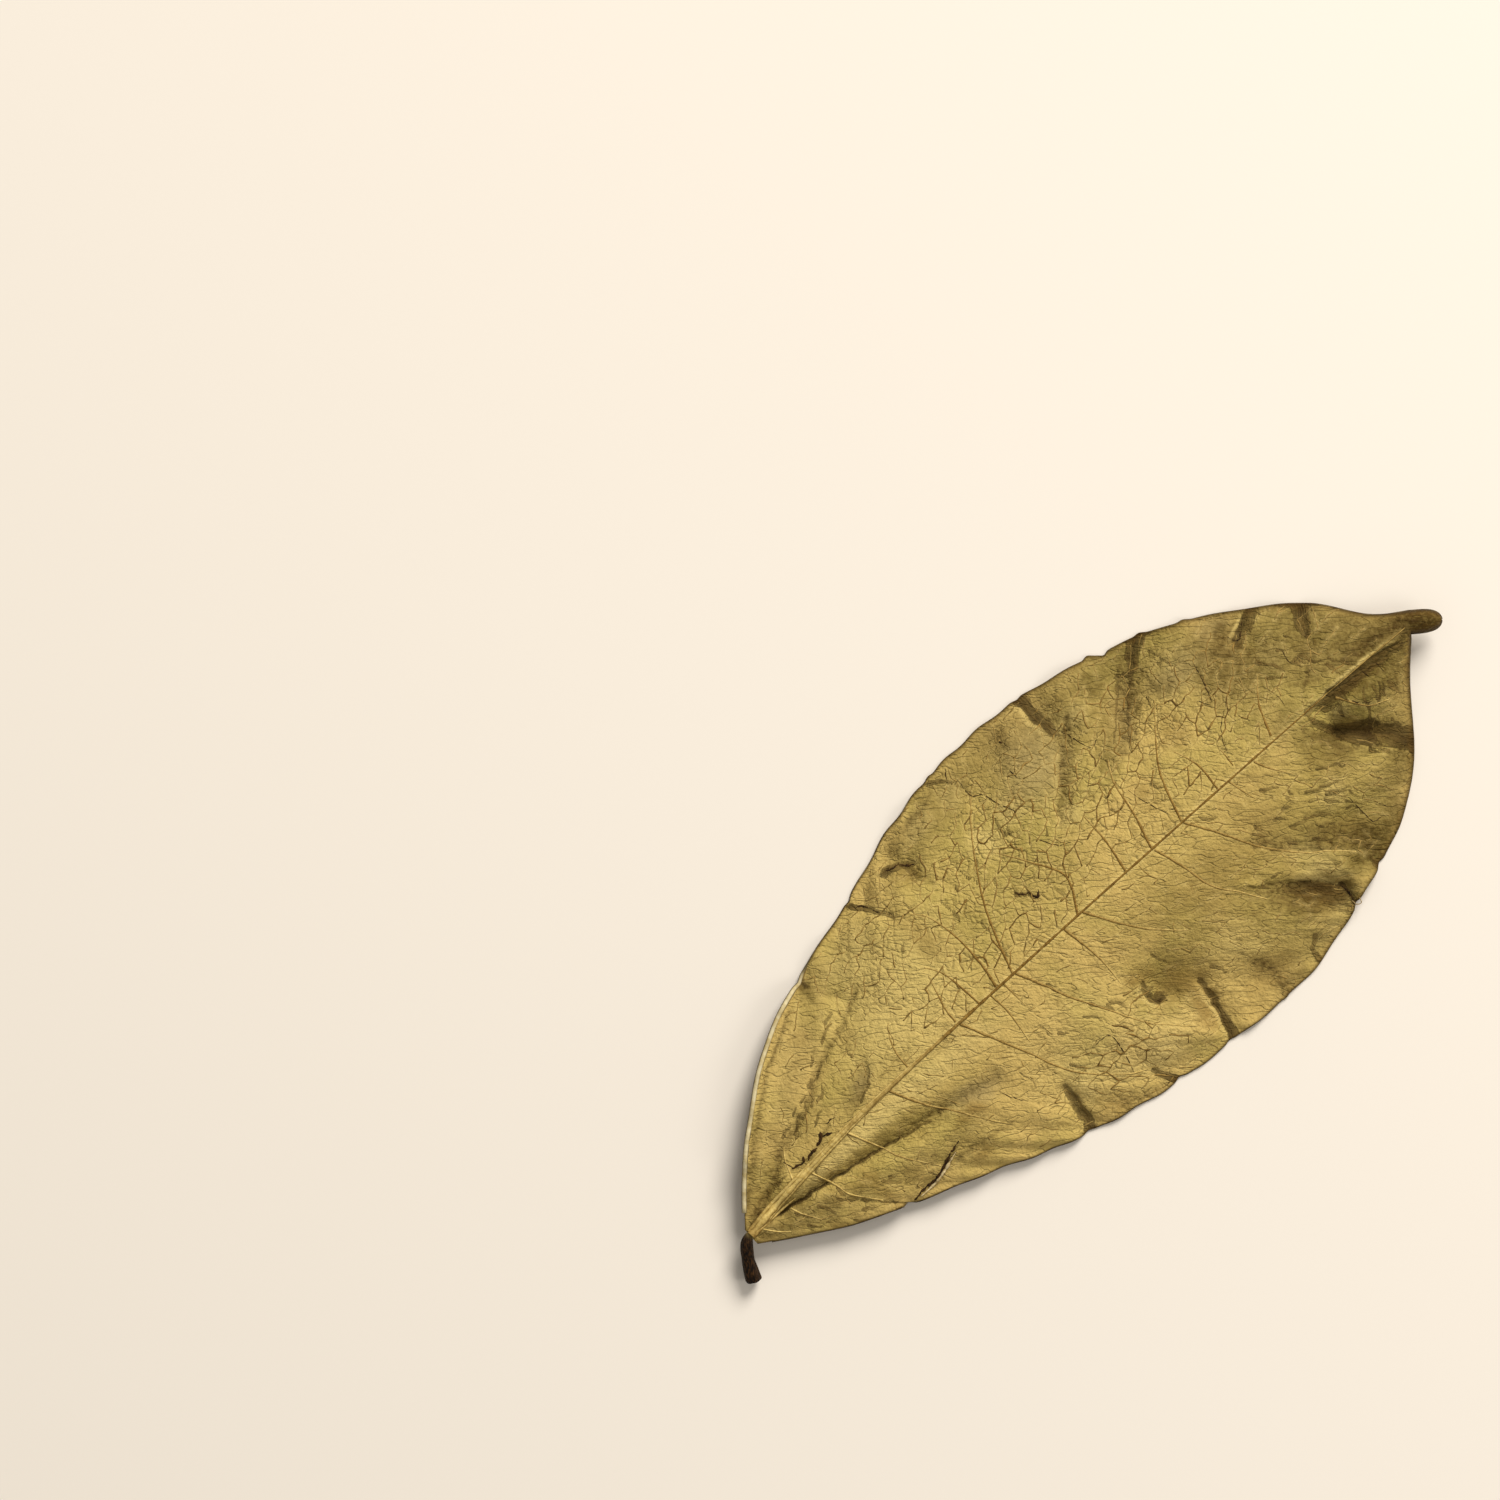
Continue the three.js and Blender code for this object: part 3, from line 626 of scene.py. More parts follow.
def curve_through(points, steps):
    """A smooth curve through the points, in the plan or in space, with steps from each to the next."""
    knots = np.array([points[0], *points, points[-1]], float)
    run = []
    for a, b, c, d in zip(knots, knots[1:], knots[2:], knots[3:]):
        for t in np.linspace(0, 1, steps, endpoint=False):
            slope, bend, twist = c - a, 2 * a - 5 * b + 4 * c - d, 3 * b - a - 3 * c + d
            run.append(0.5 * (2 * b + slope * t + bend * t**2 + twist * t**3))
    return np.array([*run, knots[-1]])


def trail(points, gap):
    """Evenly spaced places along a smooth curve through points of the plan."""
    run = curve_through(points, TRAIL_STEPS)
    length = np.concatenate([[0], np.cumsum(np.hypot(*np.diff(run, axis=0).T))])
    even = np.linspace(0, length[-1], max(3, round(length[-1] / gap) + 1))
    return np.stack([np.interp(even, length, run[:, 0]), np.interp(even, length, run[:, 1])], axis=1)


print(len(LOWER_VEINS), "side veins below the midrib and", len(UPPER_VEINS), "above")

# %% [markdown]
# ## The net between the veins
#
# The smallest visible veins close into cells of 2 to 4 mm. Three lines meet at nearly every
# corner, as in brickwork, so the net starts as a grid whose cross edges are dissolved in turn until
# it is laid like bricks. Jitter and a little smoothing pull the bricks into uneven cells that lean
# forward with the side veins.

# %% The net in the leaf's plan
NET_SEED = 7
NET_CELL = (1.5, 2.4)  # a brick is two of these long and one wide
NET_FROM = (-25, -34)
NET_TO = (141, 40)
NET_JITTER = 0.95
NET_SMOOTHING = 0.25
NET_LEAN = 0.6
NET_MIDDLE = 3  # the y from which the net leans both ways
UPRIGHT = 1e-5


def brickwork(columns, rows):
    bm = bmesh.new()
    bmesh.ops.create_grid(bm, x_segments=columns, y_segments=rows, size=1)
    gone = []
    for edge in bm.edges:
        low, high = (vert.co for vert in edge.verts)
        column = round((low.x + 1) / 2 * columns)
        row = round((min(low.y, high.y) + 1) / 2 * rows)
        if abs(low.x - high.x) < UPRIGHT and (column + row) % 2 and 0 < column < columns:
            gone.append(edge)
    bmesh.ops.dissolve_edges(bm, edges=gone, use_verts=False, use_face_split=False)
    return bm


def net_plan():
    draw = random.Random(NET_SEED)
    length, width = NET_TO[0] - NET_FROM[0], NET_TO[1] - NET_FROM[1]
    bm = brickwork(round(length / NET_CELL[0]), round(width / NET_CELL[1]))
    for vert in bm.verts:
        along = NET_FROM[0] + (vert.co.x + 1) / 2 * length
        across = NET_FROM[1] + (vert.co.y + 1) / 2 * width
        aside_x, aside_y = draw.uniform(-1, 1) * NET_JITTER, draw.uniform(-1, 1) * NET_JITTER
        vert.co = (along + aside_x, across + aside_y, 0)
    inner = [vert for vert in bm.verts if not vert.is_boundary]
    bmesh.ops.smooth_vert(bm, verts=inner, factor=NET_SMOOTHING, use_axis_x=True, use_axis_y=True)
    for vert in bm.verts:
        vert.co.x += NET_LEAN * abs(vert.co.y - NET_MIDDLE)
    return bm


net = net_plan()
print("net:", len(net.faces), "cells before it is cut to the leaf")

# %% [markdown]
# The net shows best above the middle of the midrib and fades elsewhere. So every line has a
# clearness from its place and from chance, the faintest ones are dropped, and the others keep it
# as their size. Where lines are dropped, others end freely, as on the leaf. A line is cut off at
# the margin.

# %% The lines of the net
NET_CLEAR = (  # middle x and y, half length, half width and turn of the zones where it is clear
    (76, 17, 38, 14, 0), (60, -18, 12, 7, -20), (55, 8, 20, 6, 0), (106, 14, 10, 9, -30),
)
NET_EVERYWHERE = 0.1
NET_IN_ZONES = 0.5
NET_IN_PATCHES = 0.4
NET_PATCH = (5, 13)  # size and seed
NET_CHANCE = 0.38
NET_LEAST = 0.30
NET_INSET = 0.4
NET_SPAN = (6, 131)
NET_OFF_RIB = 0.9
NET_STEP = 0.4
NET_WANDER = 0.34
NET_WANDER_SIZE = 1.3
NET_WANDER_SEEDS = (11, 12)
ZONE_EDGE = 1.5  # 1 would be a soft edge, and more than 2 a hard one


def zone(x, y, middle_x, middle_y, half_length, half_width, turn):
    """1 in the middle of a turned ellipse, falling smoothly to 0 outside it."""
    cos, sin = math.cos(math.radians(turn)), math.sin(math.radians(turn))
    along = ((x - middle_x) * cos + (y - middle_y) * sin) / half_length
    across = ((y - middle_y) * cos - (x - middle_x) * sin) / half_width
    return np.exp(-((along**2 + across**2) ** ZONE_EDGE))


def net_clearness(x, y):
    return np.max([zone(x, y, *place) for place in NET_CLEAR], axis=0)


def noise_at(x, y, size, seed):
    return noise.noise(Vector((x / size, y / size, seed)))


def net_lines(bm):
    """The places along every line that is kept, and its clearness."""
    draw = random.Random(NET_SEED + 1)
    lines = []
    for edge in bm.edges:
        ends = np.array([vert.co.xy for vert in edge.verts])
        tops, bottoms = upper_margin(ends[:, 0]) - NET_INSET, lower_margin(ends[:, 0]) + NET_INSET
        inside = (ends[:, 1] < tops) & (ends[:, 1] > bottoms)
        inside &= (ends[:, 0] > NET_SPAN[0]) & (ends[:, 0] < NET_SPAN[1])
        x, y = ends.mean(axis=0)
        clear = NET_EVERYWHERE + NET_IN_ZONES * float(net_clearness(x, y))
        clear = clear + NET_IN_PATCHES * noise_at(x, y, *NET_PATCH) + draw.uniform(-NET_CHANCE, NET_CHANCE)
        if not inside.any() or clear < NET_LEAST or abs(y - midrib(x)) < NET_OFF_RIB:
            continue
        ends[:, 1] = np.clip(ends[:, 1], bottoms, tops)
        steps = max(2, round(float(np.hypot(*(ends[1] - ends[0]))) / NET_STEP))
        run = ends[0] + (ends[1] - ends[0]) * np.linspace(0, 1, steps + 1)[:, None]
        sway = [[noise_at(a, b, NET_WANDER_SIZE, seed) for seed in NET_WANDER_SEEDS] for a, b in run]
        lines.append((run + NET_WANDER * np.array(sway), min(clear, 1.0)))
    return lines


NET_LINES = net_lines(net)
net.free()
print("net:", len(NET_LINES), "lines")

# %% [markdown]
# The skin between the veins has dried into low domes, so the blade has to know how far the nearest
# vein is. A search tree answers that quickly for a hundred thousand places.

# %% How far the nearest vein is
VEIN_GAP = 0.3  # between places along a vein


def vein_finder():
    """A search tree of places along all veins and net lines."""
    runs = [trail(points, VEIN_GAP) for points in LOWER_VEINS + UPPER_VEINS]
    spots = np.vstack([*runs, *(run for run, _ in NET_LINES)])
    tree = KDTree(len(spots))
    for i, (x, y) in enumerate(spots):
        tree.insert((x, y, 0), i)
    tree.balance()
    return tree


VEIN_TREE = vein_finder()


def vein_distance(x, y):
    return np.array([VEIN_TREE.find((a, b, 0))[2] for a, b in zip(x.flat, y.flat)]).reshape(x.shape)


print("nearest vein from (60, 12):", round(VEIN_TREE.find((60, 12, 0))[2], 2), "mm")

# %% [markdown]
# ## Colour patches
#
# Colour patches add what the shape alone doesn't show. `deep` and `brown` are dark clouds round
# the old folds and hollows, partly brown stain and partly painted shade; `green` is an olive cast;
# `grey_sheen` is painted sheen, a grey cast where the window light is reflected on smooth panels;
# and `tan` and `straw` are the pale patches, `straw` partly painted light on slopes that face away
# from the lamp. Each patch is a soft ellipse, and noise makes its border ragged.

# %% Colour patches
COLOUR_PATCHES = {  # by tint: middle x and y, half length, half width, turn and strength
    # partly brown stain, partly painted shade in the folds and hollows
    "deep": (
        (126, 9, 12, 8, -45, 0.66), (112, 15.2, 8, 6.5, -35, 0.72), (89, 29.5, 17, 5, -8, 0.42),
        (78, 25, 9, 6, 30, 0.15), (108, -15, 7, 5, -35, 0.52), (109, -19.3, 5.6, 3.6, 15, 0.62),
        (118, -12.8, 6, 3.5, 25, 0.36), (97, -22, 7, 4, 0, 0.28), (128.5, -1.2, 9.5, 3.7, -10, 0.72),
        (112.8, -4, 3, 4.5, 30, 0.36), (109, 24.5, 8, 3.5, -30, 0.30), (114.5, -3, 7, 2.4, -60, 0.36),
        (110, 6, 6, 3.5, -30, 0.26), (125, 10, 7, 4, -40, 0.25), (97.4, -17.8, 4.6, 2.8, -33, 0.72),
        (109, -18.5, 4.2, 3, 0, 0.62), (110, 14.5, 5, 3.5, -30, 0.25), (66, 30.5, 12, 3, 12, 0.25),
        (8, -3, 4, 1.6, -32, 0.4), (125, -7.5, 5, 3, 50, 0.35), (121, -13, 5, 2.5, 30, 0.25),
        (92, 24, 8, 3, 38, 0.14), (20, 13.2, 8, 2, 32, 0.22), (139, 1.5, 5.5, 6, 0, 1.0),
        (132, 4, 6, 2.4, -20, 0.35), (7, -2.4, 4.5, 2.2, -32, 0.42), (7, 4.6, 7, 2.6, 38, 0.20),
        (61, 28.6, 9, 4, 14, 0.34), (30, 20.5, 9, 4, 28, 0.18), (34, -10.5, 5, 2.5, -15, 0.22),
        (22, -9, 8, 3, -20, 0.08), (88, -20, 9, 7, 0, 0.15), (86, -7, 14, 6, -20, 0.10),
        (72, 12, 7, 5, 0, 0.16), (97.4, 21.4, 2.8, 1.5, 50, 0.90), (88.6, 17.4, 3.2, 1.8, 55, 0.55),
        (2.8, -1.2, 3.4, 1.2, -30, 0.80), (87.4, -25.6, 2.6, 1.5, 0, 0.52),
        (102.0, 20.0, 2.2, 1.7, 0, 0.48), (115.2, -17.3, 2.8, 1.5, 30, 0.52),
        (31.2, 22.5, 1.5, 2.4, 0, 0.75), (125.2, 15.6, 2.6, 1.3, -50, 0.80),
        (84.2, 27.4, 1.3, 2.4, 0, 0.62), (114.2, 19.8, 1.9, 1.7, 0, 0.62),
        (93.8, 28.2, 2.4, 1.7, 0, 0.52), (94.8, -19.4, 2.5, 1.7, -30, 0.45),
        (115.2, -2.8, 1.7, 1.9, 0, 0.52), (112.2, 3.8, 4.6, 1.8, 10, 0.38),
        (100.8, 24.8, 1.9, 1.7, 0, 0.62), (93.6, -24.4, 2.6, 1.6, 10, 0.36),
        (122.4, -11.4, 1.8, 2.4, 20, 0.50), (122.4, 16.6, 2.4, 1.6, -40, 0.42),
        (127.4, 3.6, 3.0, 1.1, -6, 0.55), (102.2, 21.4, 2.0, 1.6, 0, 0.35),
    ),
    # partly brown stain, partly painted shade in the folds and hollows
    "brown": (
        (112.8, -4, 3.5, 4.5, 30, 0.22), (90, -6, 16, 4.5, -8, 0.22), (73.5, -14.5, 4.5, 3, 0, 0.42),
        (139.5, 1, 4, 4, 0, 0.15), (8, 5.2, 7, 2.6, 38, 0.12), (15, -4.4, 3.2, 1.3, -15, 0.38),
        (11.3, -7.2, 2.0, 1.0, -35, 0.45), (19.2, -8.6, 1.6, 2.8, 5, 0.42),
        (24.5, -9.8, 2.4, 1.8, -30, 0.25), (31, 12, 3, 1.2, 20, 0.20), (87, -8, 15, 6, -15, 0.16),
        (101, -2, 9, 5, -20, 0.20), (75.6, -13.2, 6, 3.8, -10, 0.37), (86, -22.5, 3, 3.5, 0, 0.35),
        (98.5, -18.8, 4.8, 2.4, -28, 0.78), (109.5, -16, 5.5, 3.2, -32, 0.35),
        (119.5, -4.5, 5.5, 2.6, -42, 0.65), (132, 4.2, 6, 1.8, -14, 0.35), (124, 1.6, 6, 1.2, -4, 0.45),
        (93, 22.5, 5.5, 3.0, 35, 0.32), (111.5, 17.5, 4.5, 3.5, 0, 0.25), (28, -2.4, 8, 1.3, -9, 0.30),
        (4, 2.8, 4, 1.6, 25, 0.32), (54, 13.5, 5, 3, 0, 0.12), (69.6, -10.0, 1.8, 1.5, 0, 0.62),
        (37.4, -8.6, 2.4, 1.4, -15, 0.62), (74.3, -20, 1.5, 4.4, 0, 0.58),
        (98.9, 14.2, 2.4, 3.2, 0, 0.42), (49.2, 16.4, 2.2, 4.6, 0, 0.42),
        (19.2, -5.2, 2.5, 1.6, -20, 0.48), (54, -22, 2.8, 1.7, -10, 0.45),
        (34.6, -13.6, 2.2, 1.8, 0, 0.52), (54.2, 24.8, 2.4, 1.8, 0, 0.50),
        (88.8, 10.2, 2.2, 2.4, 0, 0.34),
    ),
    # painted sheen: a grey cast where the window light is reflected on smooth panels
    "grey_sheen": (
        (80, 24.5, 6.5, 5.5, 40, 0.75), (40, 22.5, 6, 3, 22, 0.22), (40, -6.2, 4.5, 1.8, -12, 0.75),
        (28, 6.6, 3.4, 1.3, 25, 0.55), (105, 20.5, 5, 3.4, 0, 0.70), (94, 21, 5, 2.2, 40, 0.45),
        (113.5, 21.6, 2.6, 1.6, 0, 0.55), (118, -4.6, 3.6, 1.8, -42, 0.35), (66, -18, 8, 5, 0, 0.12),
    ),
    "green": (
        (122, -1, 4, 2, -20, 0.4), (62, 19, 17, 10, 5, 0.60), (86, 22, 10, 7, 20, 0.60),
        (99, 26, 7, 4, 10, 0.50), (66, 9, 16, 5, 0, 0.30), (119, 1, 6, 4, -20, 0.55),
        (113, -3.5, 2.5, 2, 0, 0.40), (86, -19, 6, 5, 0, 0.12), (128, 9, 7, 5, -40, 0.35),
    ),
    "tan": (
        (90, 1, 18, 9, -8, 0.75), (84, -19, 8, 6, 0, 0.6), (24, 3, 14, 4, 5, 0.5),
        (66, -21, 4, 4, 0, 0.6),
    ),
    # partly the leaf's pale colour, partly painted light on slopes that face away from the lamp
    "straw": (
        (40, 21.5, 6, 3.5, 20, 0.35), (64, -18.5, 9, 5, -20, 0.42), (54, -15, 7, 4, -20, 0.35),
        (101.5, -14, 4.2, 2.2, -55, 0.55), (83, -15.5, 6, 2.4, -30, 0.45), (97, -23.5, 6, 1.6, 12, 0.45),
        (20, 0.6, 11, 1.5, 2, 1.0), (36, 0.6, 14, 2.6, -2, 0.80), (41, 12, 12, 9, 20, 0.82),
        (20, 14, 10, 3.5, 32, 0.35), (58, -8, 10, 6, 0, 0.25), (118.8, -0.4, 1.8, 1.2, 0, 0.9),
        (101.4, -17.0, 3.8, 1.4, -45, 1.0), (64.6, -21.2, 3.4, 2.0, 0, 1.0),
        (88.8, 25.8, 2.2, 1.6, 0, 0.9), (52.4, -16.6, 2.1, 3.8, 0, 1.0), (117, 12.7, 2.3, 2.1, 0, 0.7),
        (72, 22.2, 2.5, 2.5, 0, 0.7), (66, 21.2, 2.6, 2.2, 0, 0.8), (110.4, -8.8, 2.2, 1.8, 0, 0.7),
        (60.4, 29.4, 2.6, 1.8, 12, 0.8), (78.2, 15.2, 2.2, 1.9, 0, 0.8), (67.4, 29.6, 2.4, 1.8, 0, 0.7),
    ),
}
PATCH_GRAIN = ((1.3, 5), (0.5, 1.3))  # how far a border wanders, and the size of its waves


def patch_wander(x, y, seeds):
    return sum(far * grain(x, y, size, seed) for (far, size), seed in zip(PATCH_GRAIN, seeds))


def colour_patches(x, y):
    """Strength of every tint at every place."""
    x = x + patch_wander(x, y, (6, 7))
    y = y + patch_wander(x, y, (8, 9))
    strengths = {}
    for tint, rows in COLOUR_PATCHES.items():
        clear = np.ones(x.shape)
        for *place, strength in rows:
            clear *= 1 - strength * zone(x, y, *place)
        strengths[tint] = 1 - clear
    return strengths


print({tint: len(rows) for tint, rows in COLOUR_PATCHES.items()}, "colour_patches")

# %% [markdown]
# ## The blade
#
# The blade is two halves that meet under the midrib, so that each can have vertices a third of a
# millimetre apart. A half starts as a flat grid, `solidify` gives it its second face and its rim,
# and only then is every vertex moved to its place, so the shell stays closed. The marks and colour
# patches, with their painted shade, light and sheen, go along as numbers of every vertex. A flat UV
# map is laid over it too.

# %% Helpers: finished pieces, painted numbers and a flat map
PIECES = []
FLAT_GAP = 0.02  # between the maps of the two faces, on each side of the middle
FLAT_SPAN = 0.47


def into_scene(name, bm):
    mesh = bpy.data.meshes.new(name)
    bm.to_mesh(mesh)
    bm.free()
    made = bpy.data.objects.new(name, mesh)
    bpy.context.scene.collection.objects.link(made)
    return made


def finish_piece(name, bm, smooth=60):
    """Turns a bmesh in metres into a finished piece at the origin."""
    bm.normal_update()
    piece = into_scene(name, bm)
    piece.data.shade_smooth()
    piece.data.set_sharp_from_angle(angle=math.radians(smooth))
    piece.data.calc_loop_triangles()
    PIECES.append(piece)
    print(name, len(piece.data.loop_triangles), "triangles")
    return piece


def paint(piece, **values):
    """Stores numbers of every vertex for the material to read."""
    for name, numbers in values.items():
        layer = piece.data.attributes.new(name, "FLOAT", "POINT")
        layer.data.foreach_set("value", np.asarray(numbers, np.float32).ravel())


def lay_flat(piece, along, out, top):
    """A UV map with the upward face in one half, the downward face in the other and the rim between."""
    corners = np.empty(len(piece.data.loops), int)
    piece.data.loops.foreach_get("vertex_index", corners)
    away = FLAT_GAP + FLAT_SPAN * out[corners]
    across = 0.5 + np.where(top[corners], away, -away)
    spots = np.stack([along[corners], across], axis=1).astype(np.float32)
    piece.data.uv_layers.new(name="flat").uv.foreach_set("vector", spots.ravel())


print("helpers ready")

# %% Make both halves
THICKNESS = 0.4
TIP_EXTRA = 0.5  # the rolled tip has more skin
TIP_SMOOTHER = 0.6  # and less of the wrinkles
RIM_FALL = 0.35  # share of its thickness that the skin loses at the very margin
RIM_POWER = 6
DOME_HEIGHT = 0.05
DOME_REACH = 0.35
DOME_FROM = (6, 22)
GROOVE = 0.18  # the midrib shows as a groove in the downward face
GROOVE_REACH = 0.6
GROOVE_FROM = (2, 8)
VEIN_SIDE = 0.4  # how far beside a vein the skin is paler


def bell(distance, reach):
    return np.exp(-((distance / reach) ** 2))


def blade_half(name, upper):
    bm = bmesh.new()
    bmesh.ops.create_grid(bm, x_segments=len(ROWS) - 1, y_segments=COLUMNS, size=1)
    bmesh.ops.solidify(bm, geom=bm.faces[:], thickness=1)
    flat = np.array([vert.co for vert in bm.verts])
    row = np.rint((flat[:, 0] + 1) / 2 * (len(ROWS) - 1)).astype(int)
    column = np.rint((flat[:, 1] + 1) / 2 * COLUMNS).astype(int)
    if not upper:
        column = COLUMNS - column
    top = flat[:, 2] > -0.5  # solidify has put the second face at -1

    out = np.linspace(0, 1, COLUMNS + 1)[None, :]
    x, y = places(ROWS, out, upper)
    under, roll, marks = under_face(ROWS, out, upper, x, y)
    veins = vein_distance(x, y)
    dome = DOME_HEIGHT * (1 - bell(veins, DOME_REACH)) * smoothstep(x, *DOME_FROM)
    from_rib = np.hypot(x - of_row(ROWS, ROOT_X), y - of_row(ROWS, ROOT_Y))
    skin = THICKNESS * (1 - RIM_FALL * out**RIM_POWER) + TIP_EXTRA * roll + 2 * TIP_HALF_THICKNESS * roll
    upward = under + skin + dome + wrinkles(x, y) * (1 - TIP_SMOOTHER * roll)
    downward = under + GROOVE * bell(from_rib, GROOVE_REACH) * smoothstep(x, *GROOVE_FROM)

    z = np.where(top, upward[row, column], downward[row, column])
    placed = np.stack(to_part(x[row, column], y[row, column], z), axis=1)
    for vert, place in zip(bm.verts, placed):
        vert.co = place
    for face in bm.faces:
        layers = {bool(top[vert.index]) for vert in face.verts}
        face.material_index = 2 if len(layers) == 2 else (0 if layers == {True} else 1)
    piece = finish_piece(name, bm)
    marks.update(colour_patches(x, y), rib=from_rib, margin=np.hypot(x - x[:, -1:], y - y[:, -1:]),
                 vein=bell(veins, VEIN_SIDE), net=net_clearness(x, y))
    paint(piece, **{mark: numbers[row, column] for mark, numbers in marks.items()})
    lay_flat(piece, row / (len(ROWS) - 1), column / COLUMNS, top)
    return piece


upper_half = blade_half("blade_upper_half", True)
lower_half = blade_half("blade_lower_half", False)

# %% [markdown]
# ## Laying things on the blade
#
# Everything else lies on the upward face, so its height comes from the finished blade: a ray sent
# down from above finds it. Near the margin a ray can miss, and then the neighbours' heights do.

# %% Find the surface
ABOVE = 0.05  # metres
DOWN = Vector((0, 0, -1))


def tree_of(pieces):
    bm = bmesh.new()
    for piece in pieces:
        bm.from_mesh(piece.data)
    tree = BVHTree.FromBMesh(bm)
    bm.free()
    return tree


BLADE_TREE = tree_of([upper_half, lower_half])


def surface(x, y):
    """Height in millimetres of the upward face at one place of the plan, or nan beside it."""
    part_x, part_y, _ = to_part(x, y, 0)
    hit = BLADE_TREE.ray_cast(Vector((part_x, part_y, ABOVE)), DOWN)[0]
    return hit.z / MM if hit else math.nan


def heights_along(run):
    """Heights of the upward face along a run of places."""
    heights = np.array([surface(x, y) for x, y in run])
    known = np.isfinite(heights)
    steps = np.arange(len(run))
    return np.interp(steps, steps[known], heights[known])


def laid(points, gap, lift=0.0):
    """A trail on the blade's upward face: places in the plan with their heights."""
    run = trail(points, gap)
    return np.column_stack([run, heights_along(run) + lift])


print("top of the blade in its middle:", round(surface(60, 10), 2), "mm")

# %% [markdown]
# A strand is a grid rolled up into a tube and moved along its line, low and wide, with its lower
# half sunk in the skin. A curve object with a bevel could do it too, but here the width, the height
# and the paleness change along the line. Two numbers go with every vertex: `crest` is
# painted light and shade, high on the top of the strand and on its side towards the lamp, and low
# on the side turned away from the lamp, which is painted as a dark line of shade; `pale` says how
# straw-coloured the lit top is.

# %% Strands that lie on the blade
# the plan direction away from the lamp; the side of a strand that faces it is painted dark as shade
SHADED_SIDE = (-0.89, -0.45)
CREST_SHARE = 0.7
WELD = 1e-7  # metres


def new_strands():
    bm = bmesh.new()
    bm.verts.layers.float.new("crest")
    bm.verts.layers.float.new("pale")
    return bm


def strand(bm, path, width, height, sides=8, pale=0.0, shape=None, shade_strength=0.6):
    """Adds a closed tube along a path: `width` and `height` are half sizes along it.

    `shape` gives a factor on them round the tube, and `shade_strength` how dark its painted shade is.
    """
    steps = len(path) - 1
    width, height, pale = (np.broadcast_to(given, len(path)) for given in (width, height, pale))
    made = bmesh.ops.create_grid(bm, x_segments=steps, y_segments=sides, size=1)["verts"]
    crest_layer, pale_layer = bm.verts.layers.float["crest"], bm.verts.layers.float["pale"]
    forward = np.gradient(path, axis=0)
    forward /= np.linalg.norm(forward, axis=1, keepdims=True)
    across = np.cross(forward, (0, 0, 1))
    across /= np.linalg.norm(across, axis=1, keepdims=True)
    up = np.cross(across, forward)
    for vert in made:
        i = round((vert.co.x + 1) / 2 * steps)
        turn = math.pi * (vert.co.y + 1)
        swell = shape(i / steps, turn) if shape else 1
        side = across[i] * width[i] * math.cos(turn) * swell
        vert.co = to_part(*(path[i] + side + up[i] * height[i] * math.sin(turn) * swell))
        # painted light and shade: pale on top and on the lit side, dark on the shaded side
        shaded = across[i][0] * SHADED_SIDE[0] + across[i][1] * SHADED_SIDE[1]
        vert[crest_layer] = CREST_SHARE * math.sin(turn) - shade_strength * shaded * math.cos(turn)
        vert[pale_layer] = pale[i]


def finish_strands(name, bm, smooth=60, weld=WELD):
    """Welds the seams of rolled grids, caps their ends, turns them outwards and finishes them."""
    bmesh.ops.remove_doubles(bm, verts=bm.verts[:], dist=weld)
    open_edges = [edge for edge in bm.edges if edge.is_boundary]
    bmesh.ops.holes_fill(bm, edges=open_edges, sides=0)
    bmesh.ops.recalc_face_normals(bm, faces=bm.faces[:])
    print("open edges left:", sum(not edge.is_manifold for edge in bm.edges))
    return finish_piece(name, bm, smooth)


def uneven(path, strength, size, seed):
    """Noise along a path, of the given strength and size."""
    return strength * grain(path[:, 0], path[:, 1], size, seed)


print("strand helpers ready")

# %% [markdown]
# ## Side veins
#
# A side vein is a low, knotty ridge that thins out towards the margin. Near the foot it is
# straw-coloured, further up the leaf it is brown, and its outer end is often pale again.

# %% Side veins
VEIN_WIDTH = (0.21, 0.10)  # half width at the midrib and at the end
VEIN_HEIGHT = (0.13, 0.04)
VEIN_TAPER = 0.7
VEIN_WANDER = (0.14, 1.5, 14)  # strength, size and seed, as below
VEIN_KNOTS = (0.6, 1.1, 15)
VEIN_PALENESS = (1.3, 38, (0.8, 2.5, 16))  # at the foot, the length that takes 1 off it, and patches
SHORT_VEINS = (0.5, 24)  # the least size of a vein, and the length that adds 1 to it
LOWER_BELOW = 3.2  # the y below which a vein lies on the lower half
LOWER_PALENESS = 0.28
END_PALENESS = (0.55, 0.4)  # at its end, and the share of the way where it begins
LEAST_PALENESS = 0.1
STEADY_SHARE = 0.25  # of its length, over which its wander grows from nothing


def paleness(path, at_foot, length, patches):
    return at_foot - path[:, 0] / length + uneven(path, *patches)


